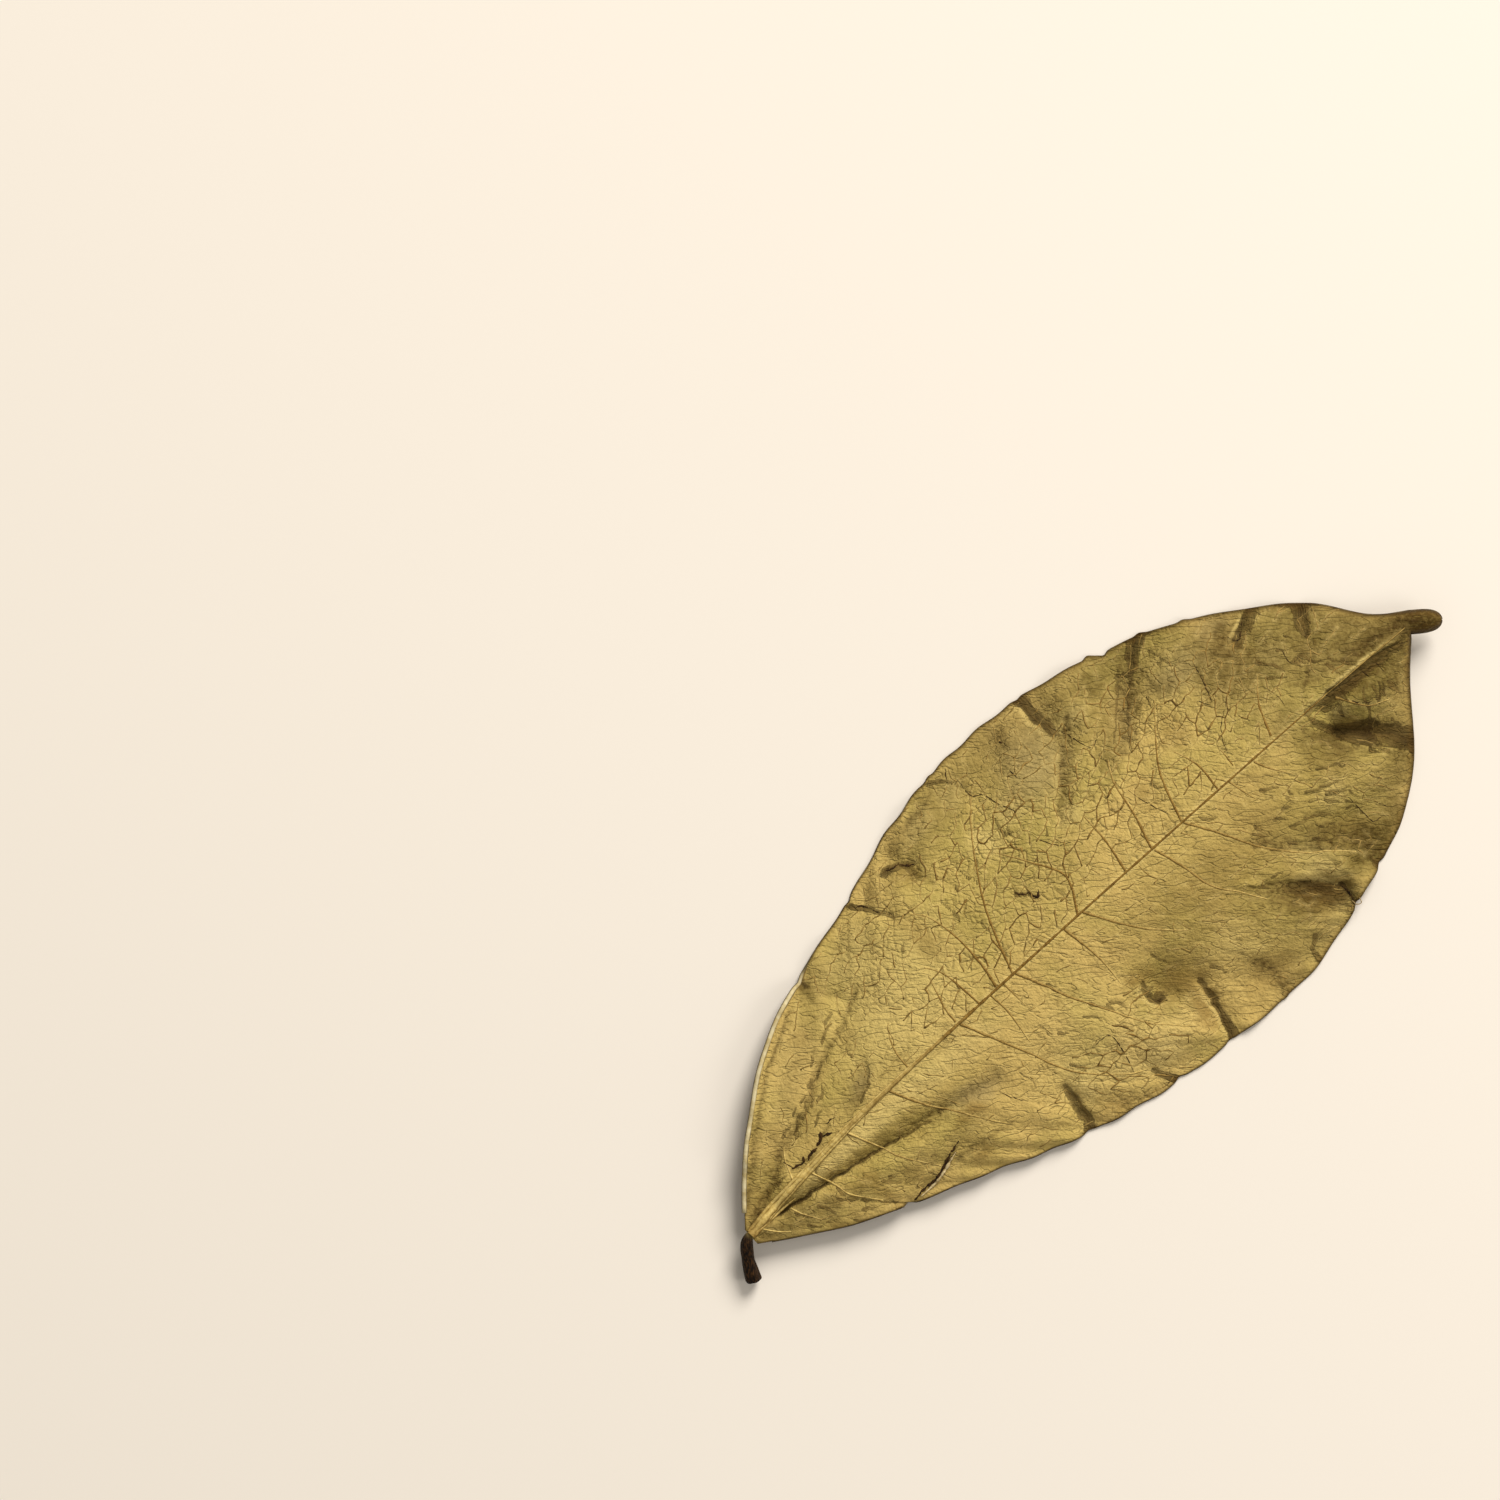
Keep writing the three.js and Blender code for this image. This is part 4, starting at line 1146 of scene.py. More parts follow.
def side_veins():
    bm = new_strands()
    for points in LOWER_VEINS + UPPER_VEINS:
        path = laid(points, VEIN_GAP)
        share = np.linspace(0, 1, len(path))
        path[:, 1] += uneven(path, *VEIN_WANDER) * np.minimum(1, share / STEADY_SHARE)
        size = min(1.0, SHORT_VEINS[0] + len(path) * VEIN_GAP / SHORT_VEINS[1])
        thinner = share**VEIN_TAPER
        width = (VEIN_WIDTH[0] + (VEIN_WIDTH[1] - VEIN_WIDTH[0]) * thinner) * size
        height = (VEIN_HEIGHT[0] + (VEIN_HEIGHT[1] - VEIN_HEIGHT[0]) * thinner) * size
        least = np.where(path[:, 1] < LOWER_BELOW, LOWER_PALENESS, 0.0)
        least = least + END_PALENESS[0] * smoothstep(share, END_PALENESS[1], 1)
        pale = np.clip(np.maximum(paleness(path, *VEIN_PALENESS), least), LEAST_PALENESS, 1)
        strand(bm, path, width * (1 + uneven(path, *VEIN_KNOTS)), height, pale=pale)
    return finish_strands("side_veins", bm)


veins_piece = side_veins()

# %% [markdown]
# ## The raised net
#
# Every kept line of the net is a thread of five sides, thick where the net is clear and half sunk
# where it is faint. Its few faces keep thousands of steps light.

# %% The raised net
NET_HALF_WIDTH = (0.05, 0.115)  # of the faintest and the clearest line
NET_FLATNESS = 0.8
NET_SINK = 0.05
NET_UNEVEN = (1.1, 0.9, 21)
NET_SWELL = (0.25, 1.8)
NET_PALENESS = (0.6, 0.5)  # of a faint line, and what a clear one has less
NET_WELD = 1e-8  # the threads are the thinnest strands, so their seams are welded more finely


def raised_net():
    bm = new_strands()
    for run, clear in NET_LINES:
        heights = np.array([surface(x, y) for x, y in run])
        if np.isnan(heights).any():
            continue
        width = NET_HALF_WIDTH[0] + (NET_HALF_WIDTH[1] - NET_HALF_WIDTH[0]) * clear
        width = width * np.clip(1 + uneven(run, *NET_UNEVEN), *NET_SWELL)
        path = np.column_stack([run, heights - NET_SINK * (1 - clear)])
        pale = NET_PALENESS[0] - NET_PALENESS[1] * clear
        strand(bm, path, width, NET_FLATNESS * width, sides=5, pale=pale)
    return finish_strands("vein_net", bm, smooth=180, weld=NET_WELD)


net_piece = raised_net()

# %% [markdown]
# ## The midrib
#
# The midrib is a low ridge, wide and fibrous at the foot and thread-thin near the tip. Two thinner
# fibres run beside it out of the stalk, and a short one on it.

# %% The midrib and its fibres
RIB_WIDTH = smooth_line(
    (0, 0.62), (10, 0.42), (30, 0.30), (60, 0.18), (100, 0.15), (114, 0.10), (134.5, 0.10),
)
RIB_HEIGHT = smooth_line(
    (0, 0.70), (10, 0.50), (30, 0.38), (60, 0.20), (100, 0.15), (114, 0.10), (134.5, 0.18),
)
RIB_SUNK = 0.2  # no deeper, or it would come out in the groove below
RIB_SPAN = (0.2, 134.8)
RIB_PLACES = 64
RIB_GAP = 0.36
RIB_UNEVEN = (0.45, 1.2, 18)
RIB_PALENESS = (1.25, 42, (0.4, 3, 17))
RIB_PALE_END = (0.36, 115, 120)  # paleness near the tip, and where it begins and is full
STALK_SHADE = (0.35, 4)  # share of the paleness where the dark stalk runs in, and how far
FIBRES = (
    ((0.3, 0.95), (5, 1.75), (12, 2.35), (24, 3.2), (40, 3.5)),
    ((0.3, 0.0), (5, 0.55), (12, 1.4), (24, 2.55), (36, 3.05)),
    ((1, 0.1), (6, 0.1), (9, 0.0)),
)
FIBRE_GAP = 0.35
FIBRE_SIZE = (0.30, 0.05)  # lost along it, and left at its end
FIBRE_TAPER = 0.6
FIBRE_FLATNESS = 0.9
FIBRE_LIFT = 0.1
FIBRE_PALENESS = (0.3, 0.6, 5)  # at the foot, what is added, and how far from the foot


def midrib_piece():
    bm = new_strands()
    path = laid([(x, float(midrib(x))) for x in np.linspace(*RIB_SPAN, RIB_PLACES)], RIB_GAP)
    x = path[:, 0]
    pale = np.clip(paleness(path, *RIB_PALENESS), 0.05, 1)
    pale = np.maximum(pale, RIB_PALE_END[0] * smoothstep(x, *RIB_PALE_END[1:]))
    shade, reach = STALK_SHADE
    pale = pale * (shade + (1 - shade) * smoothstep(x, 0, reach))
    width = RIB_WIDTH(x) * (1 + uneven(path, *RIB_UNEVEN))
    height = RIB_HEIGHT(x)
    lift = np.maximum(0, height - RIB_SUNK) / 2
    path[:, 2] += lift
    strand(bm, path, width, height - lift, 12, pale)
    for points in FIBRES:
        fibre = laid(points, FIBRE_GAP, FIBRE_LIFT)
        share = np.linspace(0, 1, len(fibre))
        size = FIBRE_SIZE[0] * (1 - share) ** FIBRE_TAPER + FIBRE_SIZE[1]
        least, more, reach = FIBRE_PALENESS
        pale = least + more * smoothstep(fibre[:, 0], 0, reach)
        strand(bm, fibre, size, FIBRE_FLATNESS * size, pale=pale)
    return finish_strands("midrib", bm)


rib_piece = midrib_piece()

# %% [markdown]
# ## The bead round the margin
#
# The margin of the real blade is a thin dark bead, which hides the cut edge of the skin. Beside the
# foot the upper margin is rolled up and shows its thick, pale inside.

# %% The bead round the margin
BEAD_RADIUS = 0.17
ROLLED_BEAD = 0.42
ROLLED_UNTIL = 36
ROLLED_FADE = 8
BEAD_PLACE = 0.997  # share of the way from the midrib to the margin
BEAD_PALENESS = (0.1, 0.9)  # everywhere, and what the rolled margin has more
BEAD_PATCHES = (0.3, 2.2, 19)
BEAD_FROM = 3  # the first rows lie under the stalk


def margin_bead():
    bm = new_strands()
    for upper in (True, False):
        edge = np.hstack(places(ROWS, np.array([[BEAD_PLACE]]), upper))
        rolled = (1 - smoothstep(edge[:, 0], ROLLED_UNTIL - ROLLED_FADE, ROLLED_UNTIL)) * upper
        size = BEAD_RADIUS + (ROLLED_BEAD - BEAD_RADIUS) * rolled
        heights = np.maximum(heights_along(edge) - 0.5 * THICKNESS * (1 - rolled), size)
        pale = BEAD_PALENESS[0] + BEAD_PALENESS[1] * rolled + uneven(edge, *BEAD_PATCHES)
        path = np.column_stack([edge, heights])[BEAD_FROM:]
        size, pale = size[BEAD_FROM:], np.clip(pale, 0, 1)[BEAD_FROM:]
        strand(bm, path, size, size, 6, pale, shade_strength=0)
    return finish_strands("margin_bead", bm, smooth=180)


bead_piece = margin_bead()

# %% [markdown]
# ## The tear, dark slits and a curled hair
#
# Near the foot an old tear shows as a dark slit with a torn pale lip, and a row of small dark slits
# lies across the midrib from it. A few more break the skin in the folds, and a hair of fibre curls
# out of one at the lower margin. Thin cracks are the same kind of strand. They could be cut into
# the blade, but so small they look the same from above as dark strands that lie on it, so their
# darkness is painted shade. The lip is painted pale, partly as the highlight on its lit torn edge.

# %% The tear, dark slits and a curled hair
SLITS = (  # half width, then the places
    # the tear: its dark slit is painted shade in the gap
    (0.27, (22.0, -12.3), (24, -12), (27, -12), (29, -11.3), (31, -10.5), (33, -10)),
    (0.21, (11.5, 3.8), (12.6, 3.3), (13.6, 3.1)), (0.20, (13.4, 3.3), (14.0, 3.9)),
    (0.28, (14.2, 3.0), (15.5, 3.6), (16.4, 3.5)), (0.32, (16.6, 3.8), (17.8, 4.2), (18.4, 5.0)),
    (0.24, (18.3, 4.2), (19.7, 3.8)), (0.11, (19.9, 5.3), (21.5, 5.2)), (0.09, (11.6, 3.9), (11.2, 5.2)),
    (0.18, (101.9, -20.4), (102.1, -21.8), (101.8, -23.3)),
    (0.14, (64.3, 12.3), (65.0, 11.2), (66.2, 10.7)), (0.18, (65.9, 10.9), (66.5, 9.5), (67.3, 10.3)),
    (0.15, (52, 27.6), (53.2, 27.1), (54.4, 27.2)), (0.17, (54.2, 26.9), (55.2, 25.9), (56.2, 25.4)),
    (0.14, (44.7, 26.5), (45.8, 26.0), (46.4, 25.2)), (0.11, (46.3, 25.2), (47.4, 23.0)),
    (0.12, (90.2, 4.2), (90.8, 5.4), (90.0, 6.0)), (0.09, (69.2, 33.0), (68.2, 31.6)),
    (0.10, (77.8, 30.8), (78.4, 29.8)), (0.08, (107.6, 19.6), (106.7, 16.4), (105.6, 13.3)),
    (0.07, (105.7, 13.4), (104.9, 14.0), (104.0, 15.5)), (0.06, (113.3, 9.2), (113.6, 7.6), (113.4, 5.8)),
    (0.07, (118.8, 12.2), (118.5, 10.1), (120.4, 10.0)),
    (0.08, (114.2, 19.3), (115.2, 17.7), (117.6, 19.6)),
    (0.08, (119.9, 2.2), (121.4, -0.4), (123.4, -2.2), (124.9, -2.9)), (0.06, (125.6, 2.2), (125.9, 0.4)),
    (0.06, (128.1, 1.6), (128.1, -0.8)),
    (0.07, (111.6, -10.9), (111.8, -14.1), (112.1, -16.4), (113.9, -16.5)),
    (0.06, (114.2, -14.5), (115.2, -16.1)),
    (0.07, (72.2, 17.0), (72.6, 15.3), (74.1, 13.1), (76.4, 12.0)),
    (0.06, (87.4, 12.2), (88.0, 9.5), (89.6, 5.1)), (0.06, (101.9, 5.6), (103.7, 9.5), (107.6, 12.4)),
    (0.06, (76.1, 27.2), (76.3, 24.5)),
    (0.07, (69.5, 30.6), (69.3, 27.4), (70.8, 26.2), (71.6, 23.6), (73.5, 19.8), (74.6, 19.0)),
    (0.07, (84.3, 27.4), (86.1, 25.2), (87.6, 20.8), (90.3, 21.8)),
    (0.07, (42.6, -8.4), (43.3, -10.4), (44.9, -12.4)),
    (0.07, (57.4, -13.0), (60.6, -13.4), (60.4, -17.2), (59.4, -20.8)),
)
SLIT_GAP = 0.15
SLIT_BLUNT = 0.05
SLIT_FLATNESS = 0.45
SLIT_RAGGED = (0.8, 0.45, 20)
SLIT_WANDER = (0.35, 0.6, 22)
LIP = ((23.2, -12.55), (26, -12.5), (28.6, -11.95), (30, -11.45), (31.6, -10.95))
LIP_SIZE = 0.34
LIP_LIFT = 0.10
LIP_BLUNT = 0.03
LIP_SHARE = 0.75  # of its size on average, round which it is ragged
LIP_RAGGED = (0.7, 0.11, 3)
HAIR = ((101.6, -23.1), (101.7, -23.9), (102.4, -24.2), (102.7, -23.4))
HAIR_GAP = 0.12
HAIR_SIZE = 0.07
HAIR_LIFT = 0.15


def spindle(steps, blunt):
    """Shares of the full size along a strand that swells from both ends; `blunt` ends start thick."""
    share = np.linspace(0, 1, steps)
    return np.sin(math.pi * np.clip(share, blunt, 1 - blunt)) ** 0.5


def slits_piece():
    bm = new_strands()
    for half, *points in SLITS:
        path = laid(points, SLIT_GAP)
        size = half * spindle(len(path), SLIT_BLUNT)
        size *= 1 + uneven(path, *SLIT_RAGGED)
        path[:, 1] += uneven(path, *SLIT_WANDER)
        strand(bm, path, size, SLIT_FLATNESS * size)
    return finish_strands("slits", bm)


def lip_piece():
    bm = new_strands()
    path = laid(LIP, SLIT_GAP, LIP_LIFT)
    share = np.linspace(0, 1, len(path))
    ragged = LIP_SHARE + uneven(np.column_stack([share, share]), *LIP_RAGGED)
    size = LIP_SIZE * ragged * spindle(len(path), LIP_BLUNT)
    strand(bm, path, size, size, pale=1.0, shade_strength=0.2)
    strand(bm, laid(HAIR, HAIR_GAP, HAIR_LIFT), HAIR_SIZE, HAIR_SIZE, sides=6, pale=0.6)
    return finish_strands("torn_lip", bm)


slit_piece = slits_piece()
torn_piece = lip_piece()

# %% [markdown]
# ## The stalk
#
# The stalk is short, nearly black and slightly swollen at its cut end, with shrunken ridges along
# it. It is a rolled grid too, moved along a curve through four places in space.

# %% The stalk
STALK_LINE = ((1.6, 0.75, 3.5), (-0.8, 0.15, 3.3), (-2.8, -2.3, 2.2), (-4.3, -5.2, 1.35))
STALK_RADIUS = (0.30, 0.98, 1.2)  # where it runs into the midrib, in its middle and at the cut end
STALK_RIDGES = ((0.07, 5, 2.5), (0.04, 9, -3))  # height, number round the stalk, twist along it
STALK_ROUGH = (0.06, 7)  # height and number along the stalk
STALK_SWELLS = ((0, 0.5), (0.6, 0.95))  # where along it the radius grows to the next one
STALK_STEPS = 24
STALK_SIDES = 28
CUT_ROUNDING = 0.05  # share of its length over which the cut end gets thinner
CUT_THINNER = 0.25
CUT_BLUNT = 0.012  # how far the rounding would run past the end
STALK_PALENESS = (0.7, 0.08, 0.30)  # at the midrib, and where it begins to fade and is gone


def stalk_shape(share, turn):
    ridges = sum(high * math.cos(number * turn + twist * share) for high, number, twist in STALK_RIDGES)
    rough = noise.noise(Vector((share * STALK_ROUGH[1], math.cos(turn), math.sin(turn))))
    return 1 + ridges + STALK_ROUGH[0] * rough


def stalk_piece():
    path = curve_through(STALK_LINE, STALK_STEPS)
    share = np.linspace(0, 1, len(path))
    radius = STALK_RADIUS[0]
    for before, after, swell in zip(STALK_RADIUS, STALK_RADIUS[1:], STALK_SWELLS):
        radius = radius + (after - before) * smoothstep(share, *swell)
    rounding = np.sqrt(np.clip((1 + CUT_BLUNT - share) / CUT_ROUNDING, 0, 1))
    radius *= rounding * CUT_THINNER + (1 - CUT_THINNER)
    pale = STALK_PALENESS[0] * (1 - smoothstep(share, *STALK_PALENESS[1:]))
    bm = new_strands()
    strand(bm, path, radius, radius, sides=STALK_SIDES, pale=pale, shape=stalk_shape)
    return finish_strands("stalk", bm)


stalk = stalk_piece()

# %% [markdown]
# ## Finishes
#
# A material is written as sums and products of values that change over the surface. The class
# below wraps one socket of a node tree, so that `1 - mask * 0.5` makes its own Math nodes, and one
# method adds any other node: its settings first, then the values or links of its sockets.

# %% Shader expressions


def feed(socket, value):
    """Links a value to a socket, or sets the socket to a number or colour."""
    if isinstance(value, Value):
        value.tree.links.new(value.socket, socket)
    else:
        socket.default_value = value


class Value:
    """A socket in a material, with the arithmetic of plain numbers."""

    def __init__(self, tree, socket=None):
        self.tree = tree
        self.socket = socket

    def node(self, kind, settings=None, inputs=None, output=0):
        made = self.tree.nodes.new(kind)
        for name, setting in (settings or {}).items():
            setattr(made, name, setting)
        for name, value in (inputs or {}).items():
            feed(made.inputs[name], value)
        return Value(self.tree, made.outputs[output])

    def math(self, operation, first, second=0.0, clamp=False):
        settings = {"operation": operation, "use_clamp": clamp}
        return self.node("ShaderNodeMath", settings, {0: first, 1: second})

    def __add__(self, other):
        return self.math("ADD", self, other)

    def __radd__(self, other):
        return self.math("ADD", other, self)

    def __sub__(self, other):
        return self.math("SUBTRACT", self, other)

    def __rsub__(self, other):
        return self.math("SUBTRACT", other, self)

    def __mul__(self, other):
        return self.math("MULTIPLY", self, other)

    def __rmul__(self, other):
        return self.math("MULTIPLY", other, self)

    def clamped(self):
        return self.math("ADD", self, 0.0, clamp=True)


def srgb(red, green, blue):
    """A colour as seen on a screen, 0 to 255, in the linear numbers that shaders use."""
    shares = (c / 255 for c in (red, green, blue))
    return (*(c / 12.92 if c <= 0.04045 else ((c + 0.055) / 1.055) ** 2.4 for c in shares), 1)


def new_material(name):
    """A material with its Principled shader, and a value to start expressions from."""
    material = bpy.data.materials.new(name)
    material.use_nodes = True
    shader = material.node_tree.nodes["Principled BSDF"]
    return material, shader, Value(material.node_tree)


def wire(shader, **values):
    """Sets or links the sockets of a shader; an underscore in a name stands for a space."""
    for name, value in values.items():
        feed(shader.inputs[name.replace("_", " ")], value)


print("shader helpers ready")

# %% [markdown]
# Patterns are measured in millimetres, because a leaf's wrinkles and specks don't grow with the
# picture. The finest net and wrinkles are too small for the mesh and are left to a Bump node.

# %% Patterns on the leaf


def in_millimetres(start, turn=0.0, stretch=(1, 1, 1)):
    """The place on the leaf in millimetres, turned and stretched for a pattern."""
    here = start.node("ShaderNodeTexCoord", output="Object")
    return start.node("ShaderNodeMapping", {"vector_type": "TEXTURE"}, {
        "Vector": here, "Rotation": (0, 0, turn), "Scale": tuple(MM * s for s in stretch),
    })


def speckle(here, size, detail=3.0, roughness=0.55, distortion=0.0):
    """Noise from 0 to 1 with grains of the given size in mm."""
    return here.node("ShaderNodeTexNoise", {"noise_dimensions": "3D"}, {
        "Vector": here, "Scale": 1 / size, "Detail": detail, "Roughness": roughness,
        "Distortion": distortion,
    })


def painted(start, name):
    return start.node("ShaderNodeAttribute", {"attribute_name": name}, output="Fac")


def spread(value, low, high, to_low=0.0, to_high=1.0):
    """Stretches one range of a value onto another, and keeps it there."""
    return value.node("ShaderNodeMapRange", {"clamp": True}, {
        "Value": value, "From Min": low, "From Max": high, "To Min": to_low, "To Max": to_high,
    })


def tinted(cover, under, over):
    settings = {"data_type": "RGBA", "blend_type": "MIX"}
    return cover.node("ShaderNodeMix", settings, {0: cover, 6: under, 7: over}, output=2)


def fine_lines(value, reach):
    """1 along the lines where a noise passes through its middle, fading within the reach."""
    return 1.0 - spread(value.math("ABSOLUTE", value - 0.5), 0.0, reach)


def cracks(here, size, reach):
    """1 along the straight borders of cells of the given size in mm, fading within the reach."""
    settings = {"feature": "DISTANCE_TO_EDGE"}
    cells = here.node("ShaderNodeTexVoronoi", settings, {"Vector": here, "Scale": 1 / size})
    return 1.0 - spread(cells, 0.0, reach)


def scaled_onto(vector, scale, onto):
    """One vector times a scale for each axis, plus another."""
    return vector.node("ShaderNodeVectorMath", {"operation": "MULTIPLY_ADD"}, {
        0: vector, 1: scale, 2: onto,
    })


def bumps(height, strength, far):
    """The surface's direction under small bumps, up to `far` millimetres high."""
    return height.node("ShaderNodeBump", {}, {
        "Strength": strength, "Distance": far * MM, "Height": height,
    })


TAN = srgb(203, 174, 102)
OLIVE = srgb(173, 156, 80)
BROWN = srgb(112, 82, 30)
DEEP = srgb(81, 64, 21)
LINE = srgb(96, 68, 16)
CREASE_STREAK = srgb(106, 82, 40)
DARK_BROWN = srgb(52, 36, 13)
SHADE = srgb(72, 52, 17)
# the tint of the painted sheen
SHEEN_GREY = srgb(158, 139, 92)
STRAW = srgb(224, 198, 124)
BARK = srgb(15, 9, 5)
print("patterns and tints ready")

# %% [markdown]
# ### The upward face
#
# It is the leaf's underside: matt, tan to olive, clouded, with brown lines over the net and short
# fine wrinkles that run one way. Creases, colour patches, painted shade and painted sheen come from
# the painted numbers, and everything between them from noise. The colour is built up as a painter
# would do it, in thin layers: each one has a cover from 0 to 1 and a tint, and lies over all that
# came before.

# %% Skin of the upward face
MARKS = (
    "deep", "brown", "green", "grey_sheen", "tan", "straw", "vein", "net", "rib", "margin", "shade",
    "crease", "dark", "cross", "rim",
)
STROKE_LENGTH = 3.6  # times its width
CELL = 1.8  # mm, of the finest net
CELL_SWAY = (0.7, 0.7, 0.7)  # how far noise bends its lines
RIDGE_STRETCH = (0.35, 0.35, 0.35)  # the pattern in a crease is drawn out lengthwise
RIDGE_ACROSS = 3.6


def crease_stain_and_shade(start, wide, mark, mottle):
    """The cover and tint of the dark creases, stain and painted shade, and the ridges along them."""
    across = start.node("ShaderNodeCombineXYZ", {}, {"X": mark["cross"] * RIDGE_ACROSS})
    ridges = speckle(scaled_onto(wide, RIDGE_STRETCH, across), 1.0, 2, 0.5)
    ragged = mark["crease"] + (mottle - 0.5) * 0.55 + (ridges - 0.5) * 0.35
    cover = (spread(ragged, 0.42, 0.54) * 0.75 + spread(ragged, 0.5, 1.0) * 0.25) * mark["dark"]
    lighter = spread(ridges, 0.42, 0.60) * spread(mark["dark"], 0.70, 0.95, 0.95, 0.22)
    return cover, tinted(lighter, DARK_BROWN, CREASE_STREAK), ridges


def leaf_back():
    material, shader, start = new_material("leaf_back")
    mark = {name: painted(start, name) for name in MARKS}
    wide = in_millimetres(start)
    streaked = in_millimetres(start, WRINKLE_TURN, (STROKE_LENGTH, 1, 1))
    clouds = speckle(wide, 16, 3, 0.5, 0.6)
    patches = speckle(wide, 4.5, 4, 0.62, 0.8)
    specks = speckle(wide, 0.6, 3, 0.65)
    strokes = speckle(streaked, 0.55, 3, 0.6)
    mottle = specks * 0.6 + strokes * 0.4
    fibrous = spread(speckle(wide, 8, 2, 0.5), 0.44, 0.60, 0.25, 1.0)
    scratches = fine_lines(speckle(streaked, 1.2, 1, 0.4), 0.035)
    sway = start.node("ShaderNodeTexNoise", {}, {"Vector": wide, "Scale": 0.5, "Detail": 2.0}, "Color")
    aside = scaled_onto(sway, CELL_SWAY, wide)
    crackle = cracks(aside, CELL, 0.045)
    edges = cracks(aside, CELL, 0.16) - crackle
    netted = spread(patches, 0.42, 0.58) * (0.25 + mark["net"] * 0.75) * (1.0 - mark["grey_sheen"] * 0.7)
    crease, crease_tint, ridges = crease_stain_and_shade(start, wide, mark, mottle)

    layers = (
        (mark["green"] * 0.8, OLIVE),
        (mark["tan"] * 0.8, TAN),
        # straw: the leaf's pale colour, partly painted light on slopes turned from the lamp
        (mark["straw"] * 0.7, STRAW),
        (spread(patches, 0.54, 0.74, 0, 0.26), BROWN),
        # painted sheen: grey where the window light is reflected on smooth panels
        (mark["grey_sheen"] * 0.85, SHEEN_GREY),
        # brown and deep: partly stain, partly painted shade in the folds and hollows
        (mark["brown"] * (0.75 + strokes * 0.5), BROWN),
        ((mark["deep"] * spread(mottle, 0.42, 0.58, 0.82, 1.14)).clamped(), DEEP),
        (spread(specks, 0.56, 0.68, 0, 0.20), BROWN),
        (mark["vein"] * spread(specks, 0.4, 0.6) * 0.45, STRAW),  # beside veins, net and midrib
        (edges * netted * 0.35, STRAW),
        (spread(mark["rib"], 0.25, 0.75, 0.55, 0.0) * (1.0 - mark["deep"]), STRAW),
        (scratches * spread(patches, 0.48, 0.62) * 0.20, LINE),
        (crackle * netted * 0.6, LINE),
        ((mark["shade"] * spread(mottle, 0.41, 0.59, 0.5, 1.4)).clamped(), SHADE),
        # painted highlight along the sharp edge of a crease
        (mark["rim"] * 0.6, STRAW),
        # dark creases: brown stain and painted shade, with lighter streaks along their ridges
        (crease, crease_tint),
        (spread(mark["margin"], 0.1, 1.3, 0.4, 0.0), BROWN),
        (spread(mark["margin"], 0.05, 0.6, 0.7, 0.0), DARK_BROWN),
    )
    colour = tinted(spread(clouds, 0.40, 0.62, 0, 0.6), TAN, OLIVE)
    for cover, tint in layers:
        colour = tinted(cover, colour, tint)

    height = strokes * fibrous * 0.6 + specks * 0.6 + ridges * crease * 0.8
    height = height + scratches * -0.25 - (crackle + edges) * netted * 0.4
    gloss = 0.60 + (patches - 0.5) * 0.35 + crease * 0.12 - mark["grey_sheen"] * 0.12
    wire(shader, Base_Color=colour, Roughness=gloss, Normal=bumps(height, 1.0, 0.5),
         Specular_IOR_Level=0.08)
    return material


BACK = leaf_back()
print(len(BACK.node_tree.nodes), "nodes in the skin of the upward face")

# %% [markdown]
# ### The downward face and the rim
#
# The face on the table is the leaf's upper side: darker, smoother and browner, with the midrib as
# a fine dark groove. The rim is where the skin was cut off by drying: plain brown.

# %% Skin of the downward face, and the rim


def leaf_front():
    material, shader, start = new_material("leaf_front")
    wide = in_millimetres(start)
    clouds = speckle(wide, 11, 4, 0.55, 0.6)
    specks = speckle(wide, 0.9, 3, 0.6)
    layers = (
        (spread(specks, 0.55, 0.78, 0, 0.4), srgb(66, 46, 26)),
        (painted(start, "shade"), DARK_BROWN),
        (spread(painted(start, "rib"), 0.2, 0.7, 0.85, 0), srgb(52, 34, 20)),
    )
    colour = tinted(spread(clouds, 0.38, 0.64), srgb(128, 104, 56), srgb(98, 84, 44))
    for cover, tint in layers:
        colour = tinted(cover, colour, tint)
    gloss = 0.48 + (clouds - 0.5) * 0.3
    wire(shader, Base_Color=colour, Roughness=gloss, Normal=bumps(specks, 0.4, 0.2))
    return material


def leaf_rim():
    material, shader, start = new_material("leaf_rim")
    grains = speckle(in_millimetres(start), 0.5, 3, 0.6)
    wire(shader, Base_Color=tinted(grains, srgb(92, 70, 38), srgb(140, 112, 64)), Roughness=0.7)
    return material


FRONT = leaf_front()
RIM = leaf_rim()
for half in (upper_half, lower_half):
    for material in (BACK, FRONT, RIM):
        half.data.materials.append(material)
print("blade finished with", [material.name for material in upper_half.data.materials])

# %% [markdown]
# ### Veins, margin, slits and stalk
#
# All strands share one recipe: painted light and shade, paler on the top and the lit side where the
# strand is pale and dark on the side turned from the lamp, and fine grains that mix two tints of
# each. The stalk is nearly black bark with lighter streaks along its fibres, which are partly
# painted highlights.

# %% Finishes of the strands
FIBRE_DARK = (srgb(140, 106, 40), srgb(98, 68, 20))
FIBRE_PALE = (srgb(228, 202, 126), srgb(196, 166, 90))
NET_DARK = (srgb(132, 98, 36), srgb(80, 56, 16))
BEAD_DARK = (srgb(74, 54, 22), srgb(40, 28, 12))
BEAD_PALE = (srgb(240, 226, 182), srgb(212, 190, 132))
# dark slits: painted shade inside the tear and the cracks
SLIT_SHADE = (srgb(34, 22, 9), srgb(74, 50, 20))
# the lip's pale tint is partly a painted highlight on the lit torn edge
LIP_PALE = (srgb(232, 214, 168), srgb(200, 174, 118))
STALK_TURN = math.radians(55)
STALK_STRETCH = (4, 0.7, 0.7)
